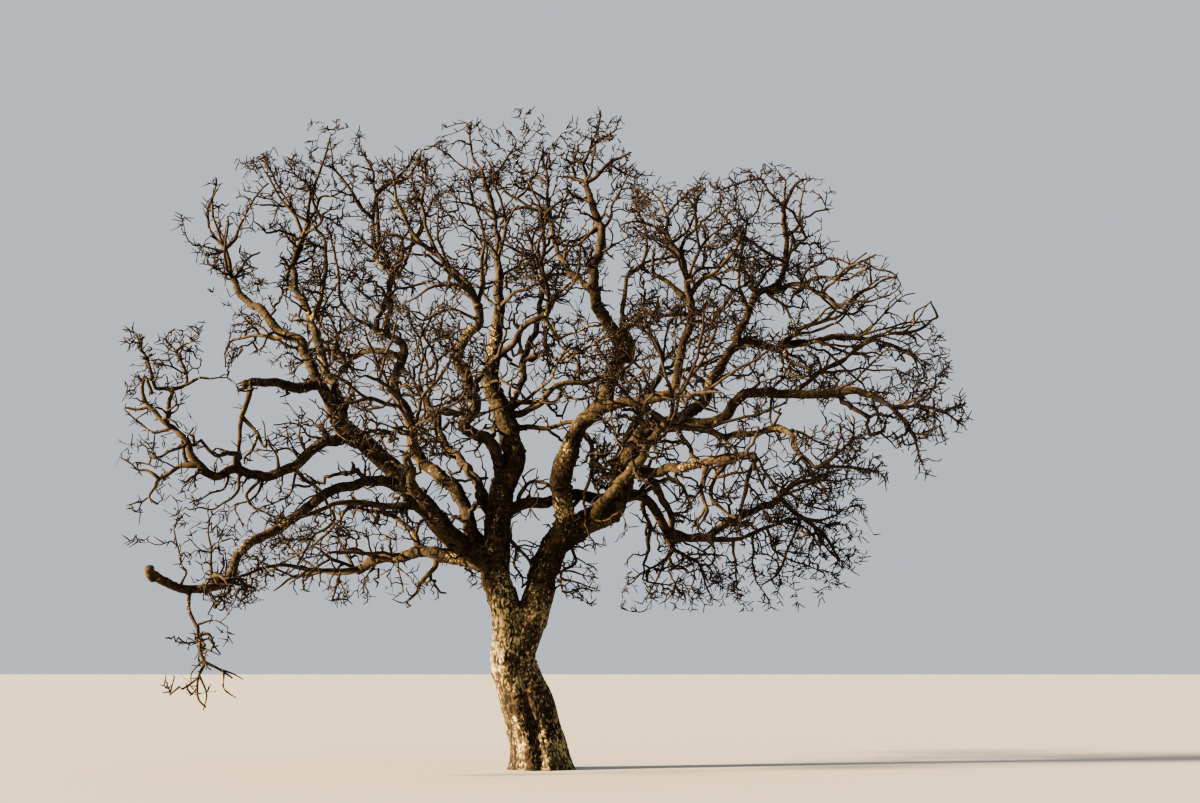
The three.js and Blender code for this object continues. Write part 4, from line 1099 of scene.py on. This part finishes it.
def samples_along(limbs):
    """Fine samples of every limb's middle, for the run of its bark: point, frame, way and width."""
    rows = []
    for number, limb in enumerate(limbs.values()):
        if "curve" in limb:
            points, along, length = spaced(limb["curve"], SAMPLED["pattern"])
            points = gnarled(points)
            widths = bark_widths(limb["bough"], along, length)
        else:
            order = np.arange(len(limb["points"]))
            at = np.linspace(0, order[-1], POINTS["strand"])
            points = between(at, order, limb["points"])
            widths = np.interp(at, order, limb["widths"])
        ahead = unit(np.gradient(points, axis=0))
        across = np.array([0.0, 1.0, 0.0]) if abs(ahead[0, 1]) < 0.9 else np.array([1.0, 0.0, 0.0])
        way = 0.0
        for i, point in enumerate(points):
            across = unit(across - ahead[i] * (across @ ahead[i]))
            rows.append([*point, *ahead[i], *across, way + number * LIMBS_APART, widths[i]])
            if i + 1 < len(points):
                way += np.linalg.norm(points[i + 1] - point)
    return np.array(rows)


def bark_relief(run, radius):
    """How high plates, lumps and burrs rise at points of the bark's run, and how much is furrow there."""
    plate = np.clip(PLATE["width"] + radius * PLATE["grows"], *PLATE["between"])[:, None]
    furrow_at = noise(run / (plate * PLATE["shape"]), FIELDS["furrow"])
    furrow_at += FURROW["branching"] * noise(run / (plate * FURROW["branches"]), FIELDS["branching"])
    furrow = np.exp(-((furrow_at / FURROW["sharp"]) ** 2))
    plates = noise(run / (plate * PLATE["cracks"]), FIELDS["plate"])
    lump = (radius * LUMP["grows"] + LUMP["over"])[:, None]
    lumps = noise(run / lump / LUMP["shape"], FIELDS["lump"])
    burrs = np.clip(noise(run / (radius + BURR["over"])[:, None], FIELDS["burr"]) - BURR["rare"], 0, 1)
    rise = lumps * radius * LUMP["high"] + burrs * np.minimum(radius, BURR["widest"]) * BURR["high"]
    depth = np.clip(radius * FURROW["deepens"], *FURROW["depth"])
    rise += depth * (FURROW["level"] - furrow + PLATE["rough"] * plates)
    return rise, furrow


def raise_bark(piece, samples):
    """Moves the skin's corners to plates, lumps and burrs that run along each limb."""
    mesh = piece.data
    corners, normals = np.empty((2, len(mesh.vertices) * 3), dtype=np.float32)
    mesh.vertices.foreach_get("co", corners)
    mesh.vertex_normals.foreach_get("vector", normals)
    corners = corners.reshape(-1, 3).astype(float) / MM
    normals = normals.reshape(-1, 3).astype(float)
    tree = point_tree(samples[:, :3])
    near = samples[[tree.find(corner)[1] for corner in corners]]
    middle, ahead, across, way, width = np.split(near, (3, 6, 9, 10), axis=1)
    offset = corners - middle
    sides = (across, np.cross(ahead, across), ahead)
    run = np.stack([(offset * side).sum(1) for side in sides], axis=1)
    run[:, 2] += way[:, 0]
    rise, furrow = bark_relief(run, width[:, 0] / 2)
    rise *= np.clip(corners[:, 2] / FROM_GROUND, 0, 1)
    moved = corners + normals * rise[:, None]
    moved[:, 2] = np.maximum(moved[:, 2], 0)
    mesh.vertices.foreach_set("co", (moved * MM).astype(np.float32).ravel())
    # The furrow share is kept on the skin for the bark's colour, which paints shade into the furrows.
    mesh.attributes.new("furrow", "FLOAT", "POINT").data.foreach_set("value", furrow.astype(np.float32))
    mesh.polygons.foreach_set("use_smooth", np.ones(len(mesh.polygons), dtype=bool))
    mesh.update()


# Materials

def linear(hex_value):
    """An sRGB hex colour as the linear red, green and blue that the shader takes."""
    parts = [int(hex_value[i:i + 2], 16) / 255 for i in (1, 3, 5)]
    return tuple(p / 12.92 if p <= 0.04045 else ((p + 0.055) / 1.055) ** 2.4 for p in parts) + (1.0,)


def add_node(tree, kind, settings=(), **links):
    """Adds a node. settings are its own properties; links are values or sockets for its inputs, each by
    its name, or by its number, such as _0, where two inputs share a name."""
    node = tree.nodes.new(kind)
    for name, value in dict(settings).items():
        setattr(node, name, value)
    for name, value in links.items():
        socket = node.inputs[int(name[1:]) if name[0] == "_" else name.replace("_", " ")]
        if isinstance(value, bpy.types.NodeSocket):
            tree.links.new(value, socket)
        else:
            socket.default_value = value
    return node


def new_material(name, color="#ffffff", roughness=0.5):
    """A material with a plain colour, its node tree and its shader."""
    material = bpy.data.materials.new(name)
    material.use_nodes = True
    shader = material.node_tree.nodes["Principled BSDF"]
    shader.inputs["Base Color"].default_value = linear(color)
    shader.inputs["Roughness"].default_value = roughness
    return material, material.node_tree, shader


def oak_bark():
    """Old oak bark: dead cork that cracked as the tree grew, so its plates are grey-brown, with crusts of dry
    pale lichen and some green-gold algae, and near-black painted shade in its furrows. Dull all over."""
    material, tree, shader = new_material("oak_bark", roughness=0.92)
    place = add_node(tree, "ShaderNodeTexCoord").outputs["Object"]
    upright = add_node(tree, "ShaderNodeMapping", Vector=place, Scale=(1.0, 1.0, 0.6)).outputs["Vector"]
    furrow = add_node(tree, "ShaderNodeAttribute", dict(attribute_name="furrow")).outputs["Fac"]
    # The size of each kind of patch in metres: the cork's own tints, specks of lichen and where they
    # cluster, films of algae, and the cork's grain
    tint, speck, cluster, film, grain = (
        add_node(tree, "ShaderNodeTexNoise", Vector=over, Scale=1 / size, Detail=detail,
                 Roughness=rough).outputs["Fac"]
        for over, size, detail, rough in ((place, 0.11, 5.0, 0.7), (upright, 0.038, 8.0, 0.75),
                                          (upright, 0.42, 3.0, 0.6), (place, 0.7, 2.0, 0.5),
                                          (place, 0.012, 5.0, 0.7)))
    crust = add_node(tree, "ShaderNodeMath", dict(operation="MULTIPLY_ADD"), _0=cluster, _1=0.7,
                     _2=speck).outputs[0]
    worn = add_node(tree, "ShaderNodeMapRange", Value=tint, From_Min=0.38, From_Max=0.64).outputs["Result"]
    # Lichen is thickest on the oldest bark, low down and near the trunk.
    where = add_node(tree, "ShaderNodeSeparateXYZ", Vector=place)
    aside = add_node(tree, "ShaderNodeMath", dict(operation="ABSOLUTE"), _0=where.outputs["X"]).outputs[0]
    outward = add_node(tree, "ShaderNodeMath", dict(operation="MULTIPLY_ADD"), _0=aside, _1=0.6,
                       _2=where.outputs["Z"]).outputs[0]
    rare = add_node(tree, "ShaderNodeMapRange", Value=outward, From_Min=2.5, From_Max=4.0, To_Min=0.875,
                    To_Max=0.975).outputs["Result"]
    above = add_node(tree, "ShaderNodeMath", dict(operation="SUBTRACT"), _0=crust, _1=rare).outputs[0]
    lichen = add_node(tree, "ShaderNodeMapRange", Value=above, From_Min=0.0, From_Max=0.05).outputs["Result"]
    algae = add_node(tree, "ShaderNodeMapRange", Value=film, From_Min=0.48, From_Max=0.66,
                     To_Max=0.4).outputs["Result"]
    color = linear("#160f09")
    # The furrow layer is painted shade: it darkens the furrows near to black, where the relief already sinks
    # the skin.
    for share, layer in ((worn, "#54432b"), (lichen, "#b3a57e"), (algae, "#4d4327"), (furrow, "#120d09")):
        color = add_node(tree, "ShaderNodeMix", dict(data_type="RGBA"), _0=share, _6=color,
                         _7=linear(layer)).outputs[2]
    tree.links.new(color, shader.inputs["Base Color"])
    bump = add_node(tree, "ShaderNodeBump", Height=grain, Strength=0.8, Distance=0.006)
    tree.links.new(bump.outputs["Normal"], shader.inputs["Normal"])
    return material


def twig_wood(name, color):
    """Young oak bark on twigs: smooth and thin, grown dull in the weather, in one plain colour."""
    return new_material(name, color, 0.8)[0]


# Building

def build_bark(limbs, bark):
    """The bark's skin: over the trunk and its two stems, then over the boughs of each side."""
    samples = samples_along(limbs)
    stems = ["left_stem", "right_stem"]
    groups = {"trunk_and_stems_bark": stems, "left_boughs_bark": [], "right_boughs_bark": []}
    for bough in BOUGHS:
        if bough["name"] not in stems:
            groups["left_boughs_bark" if is_left(bough) else "right_boughs_bark"].append(bough["name"])
    for name, boughs in groups.items():
        tubes = [limb_rings(limbs[bough]) for bough in boughs]
        on_trunk = boughs is stems
        if on_trunk:
            tubes += [strand_rings(strand) for strand in STRANDS]
        skin = fused(name, tubes, STEM_CELL if on_trunk else BOUGH_CELL)
        raise_bark(skin, samples)
        skin.data.materials.append(bark)
        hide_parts(*(["trunk"] if on_trunk else []), *boughs)
        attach(skin, "root")


def is_left(bough):
    """Whether a bough grows from the left stem."""
    by_name = {other["name"]: other for other in BOUGHS}
    while bough["parent"] in by_name:
        bough = by_name[bough["parent"]]
    return bough["name"] == "left_stem"


def splinters(limb, count, draw):
    """Short spikes of torn wood that stand out of a limb's broken end, each with so many points."""
    tip, width = limb["points"][-1], limb["widths"][-1]
    heading = unit(tip - limb["points"][-2])
    spikes = []
    for _ in range(SPLINTERS["count"]):
        aside = unit(np.cross(heading, draw.normal(size=3))) * width * draw.uniform(*SPLINTERS["aside"])
        start = tip + aside - heading * width * SPLINTERS["root"]
        end = tip + aside * SPLINTERS["spread"] + heading * width * draw.uniform(*SPLINTERS["beyond"])
        spikes.append(resample(np.array([start, end]), width * np.array(SPLINTERS["width"]), count))
    return spikes


def build_twigs(limbs, lines, small, bark):
    """The leading twigs, the side branches and fine twigs grown on from them, small boughs and twiglets."""
    leading, spaces = grow_masses(limbs)
    leading = [resample(points, widths, POINTS["leading"]) for points, widths in leading]
    draw = np.random.default_rng(SEEDS["twigs"])
    places = places_on_lines(lines, leading)
    bough_tree = point_tree(np.vstack([spaced(line["curve"], SAMPLED["near"])[0] for line in lines]))
    twig_tree = point_tree(np.vstack([points for points, _ in leading]))
    grown = []
    for kind in (SIDE_BRANCHES, FINE_TWIGS):
        tips = tips_by_cell(kind, places, spaces, bough_tree, twig_tree, draw)
        grown.append((join_tips(tips, places, kind, draw), kind))
    side, fine = pipe_widths(places, grown)
    old = twig_wood("weathered_twig_bark", "#32271a")
    young = twig_wood("young_twig_bark", "#1f160e")
    shoot = twig_wood("red_brown_shoot", "#24150c")
    lead = twig_piece("leading_twigs", *map(np.array, zip(*leading)), SIDES["leading"], old)
    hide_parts(*[mass["name"] for mass in MASSES])
    twig_piece("side_branches", *side, SIDES["branch"], old)
    crooked = [resample_curve(line, POINTS["small"]) for line in small]
    crooked += [spike for name in BROKEN_ENDS for spike in splinters(limbs[name], POINTS["small"], draw)]
    twig_piece("small_boughs", *map(np.array, zip(*crooked)), SIDES["small"], bark)
    for name, (paths, widths), material in (("fine_twigs", fine, young),
                                            ("twiglets", grow_twiglets(places, draw), shoot)):
        left = paths[:, 0, 0] < np.median(paths[:, 0, 0])
        for side_name, there in (("_left", left), ("_right", ~left)):
            twig_piece(name + side_name, paths[there], widths[there], SIDES["fine"], material)


def build_stage():
    """A plain pale floor, a soft warm key light from the left and a pale fill all round."""
    bpy.ops.mesh.primitive_plane_add(size=400, location=(0, 60, -0.002))
    floor = bpy.context.object
    floor.name = "floor"
    floor.data.materials.append(new_material("pale_floor", "#b5b2aa", 0.95)[0])
    world = bpy.data.worlds.new("pale_sky")
    world.use_nodes = True
    sky = world.node_tree.nodes["Background"]
    sky.inputs["Color"].default_value = linear("#dbe2ea")
    sky.inputs["Strength"].default_value = 0.63
    bpy.context.scene.world = world
    bpy.context.scene.view_settings.look = "AgX - High Contrast"
    key = bpy.data.lights.new("key", "SUN")
    key.energy = 20.0
    key.angle = math.radians(4)
    key.color = linear("#ffe2b8")[:3]
    lamp = bpy.data.objects.new("key", key)
    lamp.rotation_euler = Vector(KEY_FROM).to_track_quat("Z", "Y").to_euler()
    bpy.context.scene.collection.objects.link(lamp)


def build_camera():
    """The photograph's view: a person's eye height, looking a little up, from in front."""
    view = bpy.data.cameras.new("camera")
    view.sensor_width = 36
    view.lens = 51.0
    view.clip_end = 500
    camera = bpy.data.objects.new("camera", view)
    camera.location = EYE * MM
    camera.rotation_euler = (math.radians(90 + LOOKS_UP), 0, 0)
    bpy.context.scene.collection.objects.link(camera)
    bpy.context.scene.camera = camera


limbs, lines, small = lay_out_limbs()
build_camera()
build_stage()
bark = oak_bark()
build_bark(limbs, bark)
build_twigs(limbs, lines, small, bark)
